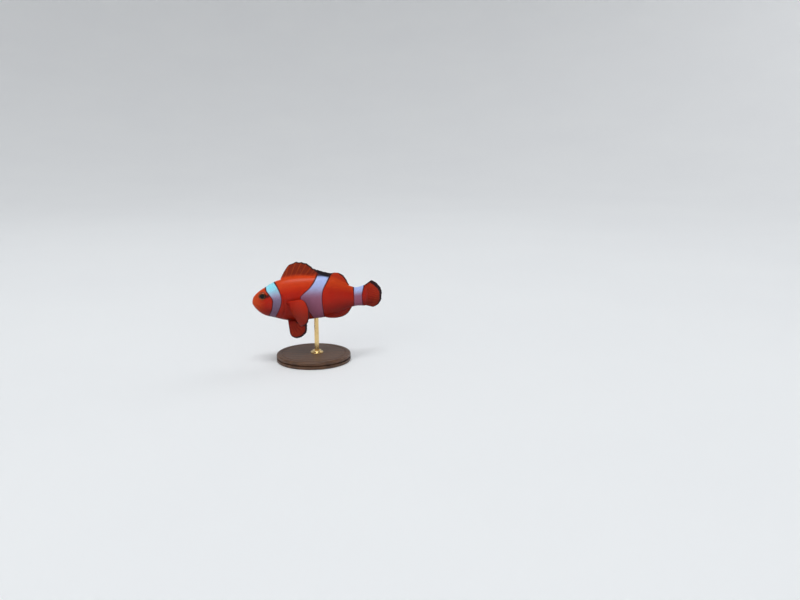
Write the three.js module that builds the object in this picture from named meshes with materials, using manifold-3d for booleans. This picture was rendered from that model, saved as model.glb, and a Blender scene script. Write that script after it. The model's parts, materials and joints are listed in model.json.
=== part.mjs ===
// A clownfish at life size, swimming level with its tail swung to one side, on a plain display stand.
// Millimetres, +Z up. The fish faces -X, its left flank is towards -Y and its tail swings towards +Y.
// The origin is the centre of the underside of the stand's base.
// Each piece of the fish is shaped along a straight spine, as x back from the snout, y across and z up,
// is parted from its neighbours there, and is then bent into the swimming pose.

import * as THREE from 'three';
import { LoftGeometry } from 'three/addons/geometries/LoftGeometry.js';
import { mergeVertices } from 'three/addons/utils/BufferGeometryUtils.js';
import Module from 'manifold-3d';

const wasm = await Module();
wasm.setup();

// ---- driving dimensions -------------------------------------------------------------------------

const tailBase = 60.5; // snout to the end of the flesh, along the spine
const tailTip = 71.7; // snout to the tip of the tail fin, along the spine
const gap = 0.3; // clearance between neighbouring pieces
const finRim = 0.6; // thickness of a fin at its rim

const stand = {
	radius: 20,
	thickness: 4,
	bevel: 0.8,
	sides: 48,
	rodRadius: 1.2,
	rodAt: 33.5, // along the spine, behind the belly fins
	rodSides: 24,
	collarRadius: 3.4,
	collarHeight: 1.4,
	snoutHeight: 32.5,
	aheadOfCentre: 32 // the snout lies this far ahead of the base's centre
};

const pose = {
	pitch: THREE.MathUtils.degToRad( 1.5 ), // head down
	bendStart: 34,
	bendEnd: 74,
	bendAngle: THREE.MathUtils.degToRad( 36 ),
	bendPower: 1.5,
	liftStart: 50,
	lift: 1.6 // rise of the spine at bendEnd
};

// Profile of the flesh: back and belly above the spine, half the width, and the height of the widest line
const bodyStations = [
	{ at: 0.0, back: 0.0, belly: 0.0, half: 0.0, level: 0.0 },
	{ at: 0.35, back: 2.1, belly: - 1.5, half: 1.45, level: 0.1 },
	{ at: 1.5, back: 3.9, belly: - 3.3, half: 2.6, level: 0.1 },
	{ at: 4.2, back: 6.2, belly: - 6.0, half: 3.8, level: 0.1 },
	{ at: 7.2, back: 7.95, belly: - 7.6, half: 4.5, level: 0.3 },
	{ at: 11.5, back: 10.4, belly: - 8.8, half: 5.1, level: 0.5 },
	{ at: 17.5, back: 12.1, belly: - 10.5, half: 5.5, level: 0.8 },
	{ at: 25.0, back: 12.75, belly: - 11.0, half: 5.5, level: 1.0 },
	{ at: 32.0, back: 12.5, belly: - 10.5, half: 5.0, level: 1.0 },
	{ at: 39.5, back: 11.8, belly: - 9.7, half: 4.1, level: 0.9 },
	{ at: 46.0, back: 9.7, belly: - 7.8, half: 3.0, level: 0.7 },
	{ at: 51.5, back: 6.9, belly: - 5.75, half: 2.2, level: 0.4 },
	{ at: 55.5, back: 5.3, belly: - 5.15, half: 1.75, level: 0.1 },
	{ at: 60.5, back: 5.8, belly: - 5.8, half: 1.15, level: 0.0 }
];

const section = { around: 26, backFullness: 1.0, bellyFullness: 0.92, flankFullness: 1.08 };
const rings = { head: 12, headLength: 9, rest: 30 };

const mouth = { tipHeight: 0.1, corner: 3.6, cornerHeight: - 1.7, jawEnd: 6.6, gape: 0.35 };
const eye = { at: 6.0, height: 3.6, radius: 2.35, halfDepth: 1.5, proud: 0.6, segments: 18, rows: 10 };
const gillCover = { at: 13.0, height: - 1.0, halfLength: 3.9, halfHeight: 7.2, thickness: 1.3, sides: 28 };
const cuts = { head: 17.6, trunk: 33.5, peduncle: 51.8 };

const spinyFin = {
	spines: 11,
	start: 15.6,
	end: 40.2,
	lean: 0.55,
	scallop: 0.035,
	root: 1.3,
	outline: [
		{ at: 15.6, rise: 0.6 }, { at: 19.6, rise: 6.3 }, { at: 23.0, rise: 8.0 }, { at: 27.0, rise: 8.2 },
		{ at: 30.3, rise: 6.9 }, { at: 33.4, rise: 4.4 }, { at: 36.6, rise: 3.6 }, { at: 42.5, rise: 3.2 }
	]
};

const softFin = {
	rays: 15,
	start: 41.2,
	end: 51.6,
	lean: 0.5,
	scallop: 0.02,
	root: 1.2,
	outline: [
		{ at: 41.2, rise: 3.0 }, { at: 44.0, rise: 4.0 }, { at: 47.0, rise: 4.95 }, { at: 49.6, rise: 4.8 },
		{ at: 51.6, rise: 3.4 }, { at: 53.4, rise: 1.0 }
	]
};

const analFin = {
	rays: 14,
	start: 38.6,
	end: 52.8,
	lean: 0.5,
	scallop: 0.02,
	root: 1.2,
	outline: [
		{ at: 38.6, rise: 0.8 }, { at: 42.0, rise: 1.6 }, { at: 45.5, rise: 2.7 }, { at: 49.0, rise: 3.2 },
		{ at: 52.2, rise: 2.6 }, { at: 54.4, rise: 1.1 }
	]
};

const tailFin = {
	rays: 17,
	rootHalf: 5.2,
	tipHalf: 7.6,
	middle: 0,
	lowerLoss: { share: 0.55, power: 2.8 }, // of the length, growing towards the outermost ray
	upperLoss: { share: 0.64, power: 1.25 }, // the upper lobe is folded and slants more
	spreadPower: 1.5,
	root: 1.5
};

const pectoralFin = {
	rays: 17,
	at: 20.6,
	height: - 1.6,
	rootSpan: 5.4,
	rootSlant: 0.15,
	length: 12.6,
	spread: 42,
	down: 36,
	out: 33,
	cup: 1.3,
	tipLoss: 0.3,
	root: 1.2
};

const pelvicFin = {
	rays: 7,
	at: 19.9,
	across: 1.9,
	height: - 11.1,
	rootSpan: 2.6,
	rootSlant: - 3.0,
	length: 10.2,
	spread: 34,
	down: 50,
	out: 10,
	cup: 0.5,
	tipLoss: 0.32,
	root: 1.2
};

const rayPoints = 3; // steps along each ray of a fin
const weldDistance = 1e-4;
const sliverSize = 0.005; // cuts leave nothing thinner than this

// ---- finishes -----------------------------------------------------------------------------------

function finish( color, roughness, metalness = 0 ) {

	return new THREE.MeshStandardMaterial( { color, roughness, metalness } );

}

const orangeSkin = () => finish( 0xd6430f, 0.45 );
const finSkin = () => finish( 0xc23a0c, 0.5 );
const eyeGloss = () => finish( 0x120a06, 0.1 );
const darkWood = () => finish( 0x3b2416, 0.5 );
const brass = () => finish( 0xb08d4a, 0.3, 1 );

// ---- the fish's measures along its spine ----------------------------------------------------------

// A smooth curve through named stations. Distances are taken as roots, which rounds the snout.
function smoothValue( stations, field, at ) {

	const place = ( k ) => Math.sqrt( stations[ k ].at );
	const last = stations.length - 1;
	const q = THREE.MathUtils.clamp( Math.sqrt( Math.max( at, 0 ) ), place( 0 ), place( last ) );
	let k = 0;
	while ( k < last - 1 && q > place( k + 1 ) ) k ++;
	const slope = ( i ) => ( stations[ i + 1 ][ field ] - stations[ i ][ field ] ) / ( place( i + 1 ) - place( i ) );
	const tangent = ( i ) => {

		if ( i === 0 ) return slope( 0 );
		if ( i === last ) return slope( last - 1 );
		const before = place( i ) - place( i - 1 );
		const after = place( i + 1 ) - place( i );
		return ( slope( i - 1 ) * after + slope( i ) * before ) / ( before + after );

	};

	const span = place( k + 1 ) - place( k );
	const t = ( q - place( k ) ) / span;
	const start = stations[ k ][ field ];
	const end = stations[ k + 1 ][ field ];
	return ( 2 * t ** 3 - 3 * t ** 2 + 1 ) * start + ( t ** 3 - 2 * t ** 2 + t ) * span * tangent( k )
		+ ( 3 * t ** 2 - 2 * t ** 3 ) * end + ( t ** 3 - t ** 2 ) * span * tangent( k + 1 );

}

const back = ( at ) => smoothValue( bodyStations, 'back', at );
const belly = ( at ) => smoothValue( bodyStations, 'belly', at );
const half = ( at ) => smoothValue( bodyStations, 'half', at );
const level = ( at ) => smoothValue( bodyStations, 'level', at );

// One point of the flesh's surface: turn runs round the section from the left flank over the back
function fleshPoint( at, turn, inset = 0 ) {

	const c = Math.cos( turn );
	const s = Math.sin( turn );
	const fullness = s > 0 ? section.backFullness : section.bellyFullness;
	const reach = s > 0 ? back( at ) - level( at ) : level( at ) - belly( at );
	const width = Math.max( half( at ) - inset, 0.01 );
	const y = - Math.sign( c ) * Math.abs( c ) ** section.flankFullness * width;
	const z = level( at ) + Math.sign( s ) * Math.abs( s ) ** fullness * reach;
	return new THREE.Vector3( at, y, z );

}

// The flank's distance from the midplane at a height above the spine
function flankAt( at, height ) {

	const up = height > level( at );
	const reach = up ? back( at ) - level( at ) : level( at ) - belly( at );
	const s = Math.min( Math.abs( height - level( at ) ) / reach, 1 ) ** ( 1 / ( up ? section.backFullness : section.bellyFullness ) );
	return Math.sqrt( 1 - s * s ) ** section.flankFullness * half( at );

}

// ---- pose ---------------------------------------------------------------------------------------

const spineStep = 0.25;
const spine = [ { x: 0, y: 0 } ];

function spineAngle( at ) {

	const t = THREE.MathUtils.clamp( ( at - pose.bendStart ) / ( pose.bendEnd - pose.bendStart ), 0, 1 );
	return pose.bendAngle * t ** pose.bendPower;

}

for ( let at = spineStep / 2; at < pose.bendEnd + 2; at += spineStep ) {

	const before = spine[ spine.length - 1 ];
	spine.push( {
		x: before.x + Math.cos( spineAngle( at ) ) * spineStep,
		y: before.y + Math.sin( spineAngle( at ) ) * spineStep
	} );

}

// From a place along the straight spine to the place in the pose, above the stand
function posed( point ) {

	const at = THREE.MathUtils.clamp( point.x, 0, pose.bendEnd + 1 );
	const k = Math.floor( at / spineStep );
	const t = at / spineStep - k;
	const angle = spineAngle( at );
	const x = THREE.MathUtils.lerp( spine[ k ].x, spine[ k + 1 ].x, t ) - point.y * Math.sin( angle ) + Math.min( point.x, 0 );
	const y = THREE.MathUtils.lerp( spine[ k ].y, spine[ k + 1 ].y, t ) + point.y * Math.cos( angle );
	const rise = Math.max( at - pose.liftStart, 0 ) / ( pose.bendEnd - pose.liftStart );
	const z = point.z + pose.lift * rise ** 2;
	return new THREE.Vector3(
		x * Math.cos( pose.pitch ) - z * Math.sin( pose.pitch ) - stand.aheadOfCentre,
		y,
		x * Math.sin( pose.pitch ) + z * Math.cos( pose.pitch ) + stand.snoutHeight
	);

}

function bend( geometry ) {

	const position = geometry.getAttribute( 'position' );
	const point = new THREE.Vector3();
	for ( let i = 0; i < position.count; i ++ ) {

		point.fromBufferAttribute( position, i );
		position.setXYZ( i, ...posed( point ).toArray() );

	}

	geometry.computeVertexNormals();
	return geometry;

}

// ---- solids ---------------------------------------------------------------------------------------

function welded( geometry ) {

	const bare = new THREE.BufferGeometry();
	bare.setAttribute( 'position', geometry.getAttribute( 'position' ) );
	bare.setIndex( geometry.index );
	return mergeVertices( bare, weldDistance );

}

function solid( geometry ) {

	const mesh = welded( geometry );
	return new wasm.Manifold( new wasm.Mesh( {
		numProp: 3,
		vertProperties: new Float32Array( mesh.getAttribute( 'position' ).array ),
		triVerts: new Uint32Array( mesh.index.array )
	} ) );

}

function shape( manifold ) {

	const mesh = manifold.simplify( sliverSize ).getMesh();
	const geometry = new THREE.BufferGeometry();
	geometry.setAttribute( 'position', new THREE.BufferAttribute( mesh.vertProperties, 3 ) );
	geometry.setIndex( new THREE.BufferAttribute( mesh.triVerts, 1 ) );
	return geometry;

}

// Skins a row of sections, first turning their points to run counterclockwise as seen from the far end
function loft( sections ) {

	const centre = ( points ) => points.reduce( ( sum, p ) => sum.add( p ), new THREE.Vector3() ).divideScalar( points.length );
	const middle = Math.floor( sections.length / 2 );
	const points = sections[ middle ];
	const origin = centre( points );
	const ahead = centre( sections[ middle + 1 ] ).sub( centre( sections[ middle - 1 ] ) );
	const normal = new THREE.Vector3();
	for ( let i = 0; i < points.length; i ++ ) {

		const from = points[ i ].clone().sub( origin );
		const to = points[ ( i + 1 ) % points.length ].clone().sub( origin );
		normal.add( from.cross( to ) );

	}

	const ordered = normal.dot( ahead ) > 0 ? sections : sections.map( ( row ) => row.slice().reverse() );
	return new LoftGeometry( ordered, { capStart: true, capEnd: true } );

}

// The whole flesh, from the snout to the base of the tail fin, drawn in by an inset at the flanks
function flesh( inset = 0 ) {

	const places = [];
	for ( let i = 0; i < rings.head; i ++ ) places.push( 0.03 + rings.headLength * ( i / rings.head ) ** 2 );
	for ( let i = 0; i <= rings.rest; i ++ ) {

		places.push( THREE.MathUtils.lerp( rings.headLength, tailBase, i / rings.rest ) );

	}

	return loft( places.map( ( at ) => {

		const points = [];
		for ( let j = 0; j < section.around; j ++ ) points.push( fleshPoint( at, j / section.around * 2 * Math.PI, inset ) );
		return points;

	} ) );

}

// A block between two places along the spine, wider and taller than the fish
function block( from, to ) {

	const size = 60;
	const box = new THREE.BoxGeometry( to - from, size, size );
	box.translate( ( from + to ) / 2, 0, 0 );
	return solid( box );

}

// A flattened eyeball
function eyeGeometry( grow ) {

	const geometry = new THREE.SphereGeometry( 1, eye.segments, eye.rows );
	geometry.scale( eye.radius + grow, eye.halfDepth + grow, eye.radius + grow );
	return geometry;

}

// The side profile of a piece, cut through the whole width of the fish
function profileCutter( points ) {

	const depth = 30;
	const outline = new THREE.Shape( points.map( ( [ x, z ] ) => new THREE.Vector2( x, z ) ) );
	const geometry = new THREE.ExtrudeGeometry( outline, { depth, bevelEnabled: false } );
	geometry.translate( 0, 0, - depth / 2 );
	geometry.rotateX( Math.PI / 2 );
	return solid( geometry );

}

function gillOutline( grow ) {

	const points = [];
	for ( let i = 0; i < gillCover.sides; i ++ ) {

		const turn = i / gillCover.sides * 2 * Math.PI;
		points.push( [
			gillCover.at + Math.cos( turn ) * ( gillCover.halfLength + grow ),
			gillCover.height + Math.sin( turn ) * ( gillCover.halfHeight + grow )
		] );

	}

	return profileCutter( points );

}

function jawOutline( shrink ) {

	const below = - 20;
	const ahead = - 5;
	const drop = mouth.gape * shrink;
	const slope = ( mouth.cornerHeight - mouth.tipHeight ) / mouth.corner;
	return profileCutter( [
		[ ahead, mouth.tipHeight - drop + ahead * slope ],
		[ ahead, below ],
		[ mouth.jawEnd - gap * shrink, below ],
		[ mouth.corner - gap * shrink, mouth.cornerHeight - drop ]
	] );

}

// ---- body pieces ----------------------------------------------------------------------------------

const wholeFlesh = solid( flesh() );
const eyeAcross = flankAt( eye.at, eye.height ) + eye.proud - eye.halfDepth;

function bothSides( manifold ) {

	return manifold.add( manifold.mirror( [ 0, 1, 0 ] ) );

}

function eyeSocket() {

	return bothSides( solid( eyeGeometry( gap ) ).translate( [ eye.at, - eyeAcross, eye.height ] ) );

}

// The space of both gill covers, open towards the flanks
function gillSpace( grow ) {

	return gillOutline( grow ).subtract( solid( flesh( gillCover.thickness + grow ) ) );

}

function headSolid() {

	return wholeFlesh.subtract( block( cuts.head, 80 ) ).subtract( eyeSocket() ).subtract( gillSpace( gap ) )
		.subtract( jawOutline( 0 ) );

}

function jawSolid() {

	return wholeFlesh.intersect( jawOutline( 1 ) );

}

function gillCoverSolid( side ) {

	return wholeFlesh.intersect( gillSpace( 0 ) ).trimByPlane( [ 0, side, 0 ], gap );

}

function fleshBetween( from, to ) {

	return wholeFlesh.intersect( block( from + gap / 2, to - gap / 2 ) );

}

function eyeBall( side ) {

	const geometry = eyeGeometry( 0 );
	geometry.translate( eye.at, side * eyeAcross, eye.height );
	return geometry;

}

// ---- fins -----------------------------------------------------------------------------------------

// A ray's cross section: a thin strip that tapers from the root to the rim
function strip( ray, rootThickness ) {

	const near = [];
	const far = [];
	for ( let i = 0; i <= rayPoints; i ++ ) {

		const t = i / rayPoints;
		const middle = ray.root.clone().lerp( ray.tip, t ).addScaledVector( ray.normal, ( ray.cup ?? 0 ) * t * t );
		const thickness = THREE.MathUtils.lerp( rootThickness, finRim, Math.sqrt( t ) );
		near.push( middle.clone().addScaledVector( ray.normal, - thickness / 2 ) );
		far.unshift( middle.clone().addScaledVector( ray.normal, thickness / 2 ) );

	}

	return [ ...near, ...far ];

}

// A fin along the back or belly: its rays lean back, and its rim dips between them
function ridgeFin( fin, edge, up, count ) {

	const sections = [];
	const steps = ( count - 1 ) * 2;
	for ( let i = 0; i <= steps; i ++ ) {

		const t = i / steps;
		const from = THREE.MathUtils.lerp( fin.start, fin.end, t );
		const guess = smoothValue( fin.outline, 'rise', from );
		const to = from + fin.lean * guess;
		const dip = i % 2 ? 1 - fin.scallop : 1;
		const rise = smoothValue( fin.outline, 'rise', to ) * dip;
		sections.push( strip( {
			root: new THREE.Vector3( from, 0, edge( from ) + up * gap ),
			tip: new THREE.Vector3( to, 0, edge( Math.min( to, tailBase ) ) + up * rise ),
			normal: new THREE.Vector3( 0, 1, 0 )
		}, fin.root ) );

	}

	return loft( sections );

}

function tailFinGeometry() {

	const sections = [];
	const steps = ( tailFin.rays - 1 ) * 2;
	const start = tailBase + gap;
	for ( let i = 0; i <= steps; i ++ ) {

		const t = i / steps * 2 - 1;
		const size = Math.abs( t );
		const loss = t > 0 ? tailFin.upperLoss : tailFin.lowerLoss;
		const length = ( tailTip - start ) * ( 1 - loss.share * size ** loss.power );
		const height = Math.sign( t ) * ( 1 - ( 1 - size ) ** tailFin.spreadPower ) * tailFin.tipHalf;
		sections.push( strip( {
			root: new THREE.Vector3( start, 0, tailFin.middle + t * tailFin.rootHalf ),
			tip: new THREE.Vector3( start + length, 0, tailFin.middle + height ),
			normal: new THREE.Vector3( 0, 1, 0 )
		}, tailFin.root ) );

	}

	return loft( sections );

}

// A fan-shaped fin on one flank: side is -1 on the left and 1 on the right
function fanFin( fin, side, across ) {

	const down = THREE.MathUtils.degToRad( fin.down );
	const out = THREE.MathUtils.degToRad( fin.out );
	const spread = THREE.MathUtils.degToRad( fin.spread );
	const reach = new THREE.Vector3( Math.cos( down ) * Math.cos( out ), side * Math.sin( out ), - Math.sin( down ) * Math.cos( out ) );
	const rootLine = new THREE.Vector3( fin.rootSlant, 0, - 1 ).normalize();
	const normal = new THREE.Vector3().crossVectors( rootLine, reach ).normalize();
	const centre = new THREE.Vector3( fin.at, side * ( across + gap + fin.root / 2 ), fin.height );
	const sections = [];
	const steps = ( fin.rays - 1 ) * 2;
	for ( let i = 0; i <= steps; i ++ ) {

		const t = i / steps * 2 - 1;
		const root = centre.clone().addScaledVector( rootLine, t * fin.rootSpan / 2 );
		const turn = rootLine.clone().cross( reach ).dot( normal ) > 0 ? - 1 : 1;
		const direction = reach.clone().applyAxisAngle( normal, turn * t * spread );
		const tip = root.clone().addScaledVector( direction, fin.length * ( 1 - fin.tipLoss * t * t ) );
		sections.push( strip( { root, tip, normal, cup: side * fin.cup }, fin.root ) );

	}

	return loft( sections );

}

// ---- stand ----------------------------------------------------------------------------------------

function standBase() {

	const { radius, thickness, bevel, sides } = stand;
	const profile = [
		[ 0, 0 ], [ radius - bevel / 2, 0 ], [ radius, bevel / 2 ],
		[ radius, thickness - bevel ], [ radius - bevel, thickness ], [ 0, thickness ]
	].map( ( [ x, y ] ) => new THREE.Vector2( x, y ) );
	const geometry = new THREE.LatheGeometry( profile, sides );
	geometry.rotateX( Math.PI / 2 );
	return geometry;

}

const rodTop = posed( new THREE.Vector3( stand.rodAt, 0, belly( stand.rodAt ) ) );

function standCollar() {

	const inner = stand.rodRadius + gap;
	const profile = [
		[ inner, 0 ], [ stand.collarRadius, 0 ], [ stand.collarRadius, stand.collarHeight * 0.6 ],
		[ stand.collarRadius * 0.8, stand.collarHeight ], [ inner, stand.collarHeight ], [ inner, 0 ]
	].map( ( [ x, y ] ) => new THREE.Vector2( x, y ) );
	const geometry = new THREE.LatheGeometry( profile, stand.rodSides );
	geometry.rotateX( Math.PI / 2 );
	return geometry;

}

function standRod() {

	const length = rodTop.z - stand.thickness - gap;
	const geometry = new THREE.CylinderGeometry( stand.rodRadius, stand.rodRadius, length, stand.rodSides );
	geometry.rotateX( Math.PI / 2 );
	return { geometry, length };

}

// ---- assembly -------------------------------------------------------------------------------------

const model = new THREE.Group();
const fish = new THREE.Group();
const display = new THREE.Group();
model.add( fish, display );

function addPiece( group, name, geometry, material ) {

	const mesh = new THREE.Mesh( geometry, material );
	mesh.name = name;
	group.add( mesh );
	return mesh;

}

addPiece( fish, 'head', bend( shape( headSolid() ) ), orangeSkin() );
addPiece( fish, 'lower_jaw', bend( shape( jawSolid() ) ), orangeSkin() );
addPiece( fish, 'trunk_front', bend( shape( fleshBetween( cuts.head, cuts.trunk ) ) ), orangeSkin() );
addPiece( fish, 'trunk_rear', bend( shape( fleshBetween( cuts.trunk, cuts.peduncle ) ) ), orangeSkin() );
addPiece( fish, 'tail_stalk', bend( shape( fleshBetween( cuts.peduncle, tailBase + 1 ) ) ), orangeSkin() );

addPiece( fish, 'dorsal_fin_spiny', bend( ridgeFin( spinyFin, back, 1, spinyFin.spines ) ), finSkin() );
addPiece( fish, 'dorsal_fin_soft', bend( ridgeFin( softFin, back, 1, softFin.rays ) ), finSkin() );
addPiece( fish, 'anal_fin', bend( ridgeFin( analFin, belly, - 1, analFin.rays ) ), finSkin() );
addPiece( fish, 'tail_fin', bend( tailFinGeometry() ), finSkin() );

for ( const [ side, name ] of [ [ - 1, 'left' ], [ 1, 'right' ] ] ) {

	addPiece( fish, `gill_cover_${ name }`, bend( shape( gillCoverSolid( side ) ) ), orangeSkin() );
	addPiece( fish, `eye_${ name }`, bend( eyeBall( side ) ), eyeGloss() );
	const flank = flankAt( pectoralFin.at, pectoralFin.height );
	addPiece( fish, `pectoral_fin_${ name }`, bend( fanFin( pectoralFin, side, flank ) ), finSkin() );
	addPiece( fish, `pelvic_fin_${ name }`, bend( fanFin( pelvicFin, side, pelvicFin.across ) ), finSkin() );

}

addPiece( display, 'stand_base', standBase(), darkWood() );

const collar = addPiece( display, 'stand_collar', standCollar(), brass() );
collar.position.set( rodTop.x, rodTop.y, stand.thickness );

const rod = standRod();
const rodMesh = addPiece( display, 'stand_rod', rod.geometry, brass() );
rodMesh.position.set( rodTop.x, rodTop.y, stand.thickness + rod.length / 2 );

export default model;
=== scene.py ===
# A life-size clownfish on a display stand: one skin with fins, a coat of scales, glass eyes, wood and brass.
# The fish is worked out along a straight spine in millimetres, as x back from the snout, y across and z up,
# and each finished mesh is then bent into the swimming pose and put in metres.

import bisect
import json
import math
import random

import bmesh
import bpy
from mathutils import Matrix, Vector

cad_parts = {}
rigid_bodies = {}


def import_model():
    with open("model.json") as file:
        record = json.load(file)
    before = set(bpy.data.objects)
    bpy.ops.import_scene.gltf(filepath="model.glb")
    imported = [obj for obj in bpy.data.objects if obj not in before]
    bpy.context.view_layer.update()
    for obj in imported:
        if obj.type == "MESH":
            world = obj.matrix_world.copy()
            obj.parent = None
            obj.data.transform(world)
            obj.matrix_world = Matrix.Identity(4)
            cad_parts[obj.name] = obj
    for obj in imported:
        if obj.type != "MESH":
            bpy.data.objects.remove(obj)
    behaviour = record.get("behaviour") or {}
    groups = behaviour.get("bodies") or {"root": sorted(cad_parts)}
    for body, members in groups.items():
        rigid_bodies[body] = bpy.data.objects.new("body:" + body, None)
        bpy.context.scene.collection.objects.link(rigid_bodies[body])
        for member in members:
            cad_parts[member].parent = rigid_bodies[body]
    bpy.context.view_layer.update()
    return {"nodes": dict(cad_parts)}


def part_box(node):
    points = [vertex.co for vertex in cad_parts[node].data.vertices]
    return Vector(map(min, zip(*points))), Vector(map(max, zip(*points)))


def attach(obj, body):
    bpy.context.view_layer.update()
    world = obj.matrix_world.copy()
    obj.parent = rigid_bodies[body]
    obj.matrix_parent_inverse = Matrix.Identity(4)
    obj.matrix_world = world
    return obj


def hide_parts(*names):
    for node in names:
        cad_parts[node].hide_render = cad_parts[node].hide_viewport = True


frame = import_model()
mm = 0.001
farOff = -9.0  # a distance that stands for nowhere near
print("frame:", len(frame["nodes"]), "nodes")


# measures that swell and narrow smoothly

def clamp(value, low=0.0, high=1.0):
    return min(max(value, low), high)


def mix(start, end, share):
    return start + (end - start) * share


def ramp(value, low, high):
    t = clamp((value - low) / (high - low))
    return t * t * (3 - 2 * t)


def between(value, rise, fall):  # 1 in the middle, smooth over the two places of the rise and of the fall
    return ramp(value, *rise) * (1 - ramp(value, *fall))


def hump(distance, width):  # 1 on the line, 0 past the width
    t = min(abs(distance) / width, 1.0)
    return (1 - t * t) ** 2


def curveThrough(rows, column=1, place=lambda row: row[0]):
    places = [place(row) for row in rows]
    values = [row[column] for row in rows]
    slopes = [(values[k + 1] - values[k]) / (places[k + 1] - places[k]) for k in range(len(places) - 1)]
    tangents = [slopes[0]]
    for k in range(1, len(slopes)):
        before = places[k] - places[k - 1]
        after = places[k + 1] - places[k]
        tangents.append((slopes[k - 1] * after + slopes[k] * before) / (before + after))
    tangents.append(slopes[-1])

    def valueAt(at):
        q = clamp(at, places[0], places[-1])
        k = clamp(bisect.bisect_right(places, q) - 1, 0, len(slopes) - 1)
        span = places[k + 1] - places[k]
        t = (q - places[k]) / span
        risen = t * t * (3 - 2 * t)
        return (
            mix(values[k], values[k + 1], risen)
            + t * (1 - t) ** 2 * span * tangents[k]
            - t * t * (1 - t) * span * tangents[k + 1]
        )

    return valueAt


def outlineOf(rows, column):  # over the roots of the distance, which round the snout
    along = curveThrough(rows, column, lambda row: math.sqrt(row[0]))
    return lambda at: along(math.sqrt(max(at, 0.0)))


# the pose: head slightly down, tail swung to its right

swim = {
    "pitch": math.radians(1.5),
    "bendStart": 34.0,
    "bendEnd": 74.0,
    "bendAngle": math.radians(36),
    "bendPower": 1.5,
    "liftStart": 50.0,
    "lift": 1.6,  # rise of the spine at bendEnd
    "snoutHeight": 32.5,
    "aheadOfCentre": 32.0,
    "step": 0.25,
}


def spineAngle(at):
    t = clamp((at - swim["bendStart"]) / (swim["bendEnd"] - swim["bendStart"]))
    return swim["bendAngle"] * t ** swim["bendPower"]


def spineLine():
    line = [Vector((0.0, 0.0))]
    for k in range(int((swim["bendEnd"] + 2) / swim["step"])):
        angle = spineAngle((k + 0.5) * swim["step"])
        line.append(line[-1] + Vector((math.cos(angle), math.sin(angle))) * swim["step"])
    return line


spine = spineLine()


def posed(point):
    at = clamp(point.x, 0.0, swim["bendEnd"] + 1)
    k = int(at / swim["step"])
    angle = spineAngle(at)
    on = spine[k].lerp(spine[k + 1], at / swim["step"] - k)
    x = on.x - point.y * math.sin(angle) + min(point.x, 0.0)
    y = on.y + point.y * math.cos(angle)
    rise = max(at - swim["liftStart"], 0.0) / (swim["bendEnd"] - swim["liftStart"])
    z = point.z + swim["lift"] * rise * rise
    c = math.cos(swim["pitch"])
    s = math.sin(swim["pitch"])
    return Vector((x * c - z * s - swim["aheadOfCentre"], y, x * s + z * c + swim["snoutHeight"])) * mm


# the body's flesh

body = {
    # place; back and belly above the spine; half the width; height of the widest line
    "stations": (
        (0.0, 0.0, 0.0, 0.0, 0.0),
        (0.35, 2.1, -1.5, 1.45, 0.1),
        (1.5, 3.9, -3.3, 2.6, 0.1),
        (4.2, 6.2, -6.0, 3.8, 0.1),
        (7.2, 7.95, -7.6, 4.5, 0.3),
        (11.5, 10.4, -8.8, 5.1, 0.5),
        (17.5, 12.1, -10.5, 5.5, 0.8),
        (25.0, 12.75, -11.0, 5.5, 1.0),
        (32.0, 12.5, -10.5, 5.0, 1.0),
        (39.5, 11.8, -9.7, 4.1, 0.9),
        (46.0, 9.7, -7.8, 3.0, 0.7),
        (51.5, 6.9, -5.75, 2.2, 0.4),
        (55.5, 5.3, -5.15, 1.75, 0.1),
        (60.5, 5.8, -5.8, 1.15, 0.0),
    ),
    "tailBase": 60.5,
    "lobe": 2.4,  # the flesh ends in a rounded lobe on the tail fin
    "lobePowers": (1.15, 3),  # how it thins and rounds
    "bellyFullness": 0.92,
    "flankFullness": 1.08,
    "coatDepth": 0.12,
    "snoutDepth": 0.2,
    "columns": 240,
    "snoutStep": 0.045,
    "headRings": 0.2,  # spacing
    "edgeRings": 0.06,  # at the rear edge of the gill cover
    "edgeReach": 0.6,
    "trunkRings": 0.9,
    "lobeRings": 8,
    "headEnd": 17.9,
    "headFade": (18.9, 20.4),  # where its relief ends
    "ringBend": -2.2,  # the rings' greatest shift, to follow the rear edge of the gill cover
    "ringBendUp": ((-9.5, -7.5), (4.5, 8.0)),
    "ringBendEnds": (11.0, 24.0),
    "girthSteps": 60,
    "girthPlaces": 64,
}

backAt, bellyAt, halfAt, levelAt = (outlineOf(body["stations"], column) for column in (1, 2, 3, 4))


def fleshPoint(at, turn):
    c = math.cos(turn)
    s = math.sin(turn)
    level = levelAt(at)
    reach = backAt(at) - level if s > 0 else level - bellyAt(at)
    half = halfAt(at)
    end = clamp((at - body["tailBase"]) / body["lobe"])
    if end > 0:
        thin, rounding = body["lobePowers"]
        half *= 1 - end ** thin
        reach *= math.sqrt(1 - end ** rounding)
    y = -math.copysign(abs(c) ** body["flankFullness"] * half, c)
    z = level + (s if s > 0 else -((-s) ** body["bellyFullness"])) * reach
    return Vector((at, y, z))


def fleshNormal(at, turn):
    nudge = 0.02
    start = max(at, nudge * 2)
    along = fleshPoint(start + nudge, turn) - fleshPoint(start - nudge, turn)
    around = fleshPoint(start, turn + nudge) - fleshPoint(start, turn - nudge)
    normal = along.cross(around).normalized()
    ahead = 1 - ramp(at, 0.0, 0.12)  # at the very tip the skin faces straight ahead
    return normal.lerp(Vector((-1, 0, 0)), ahead).normalized()


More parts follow.
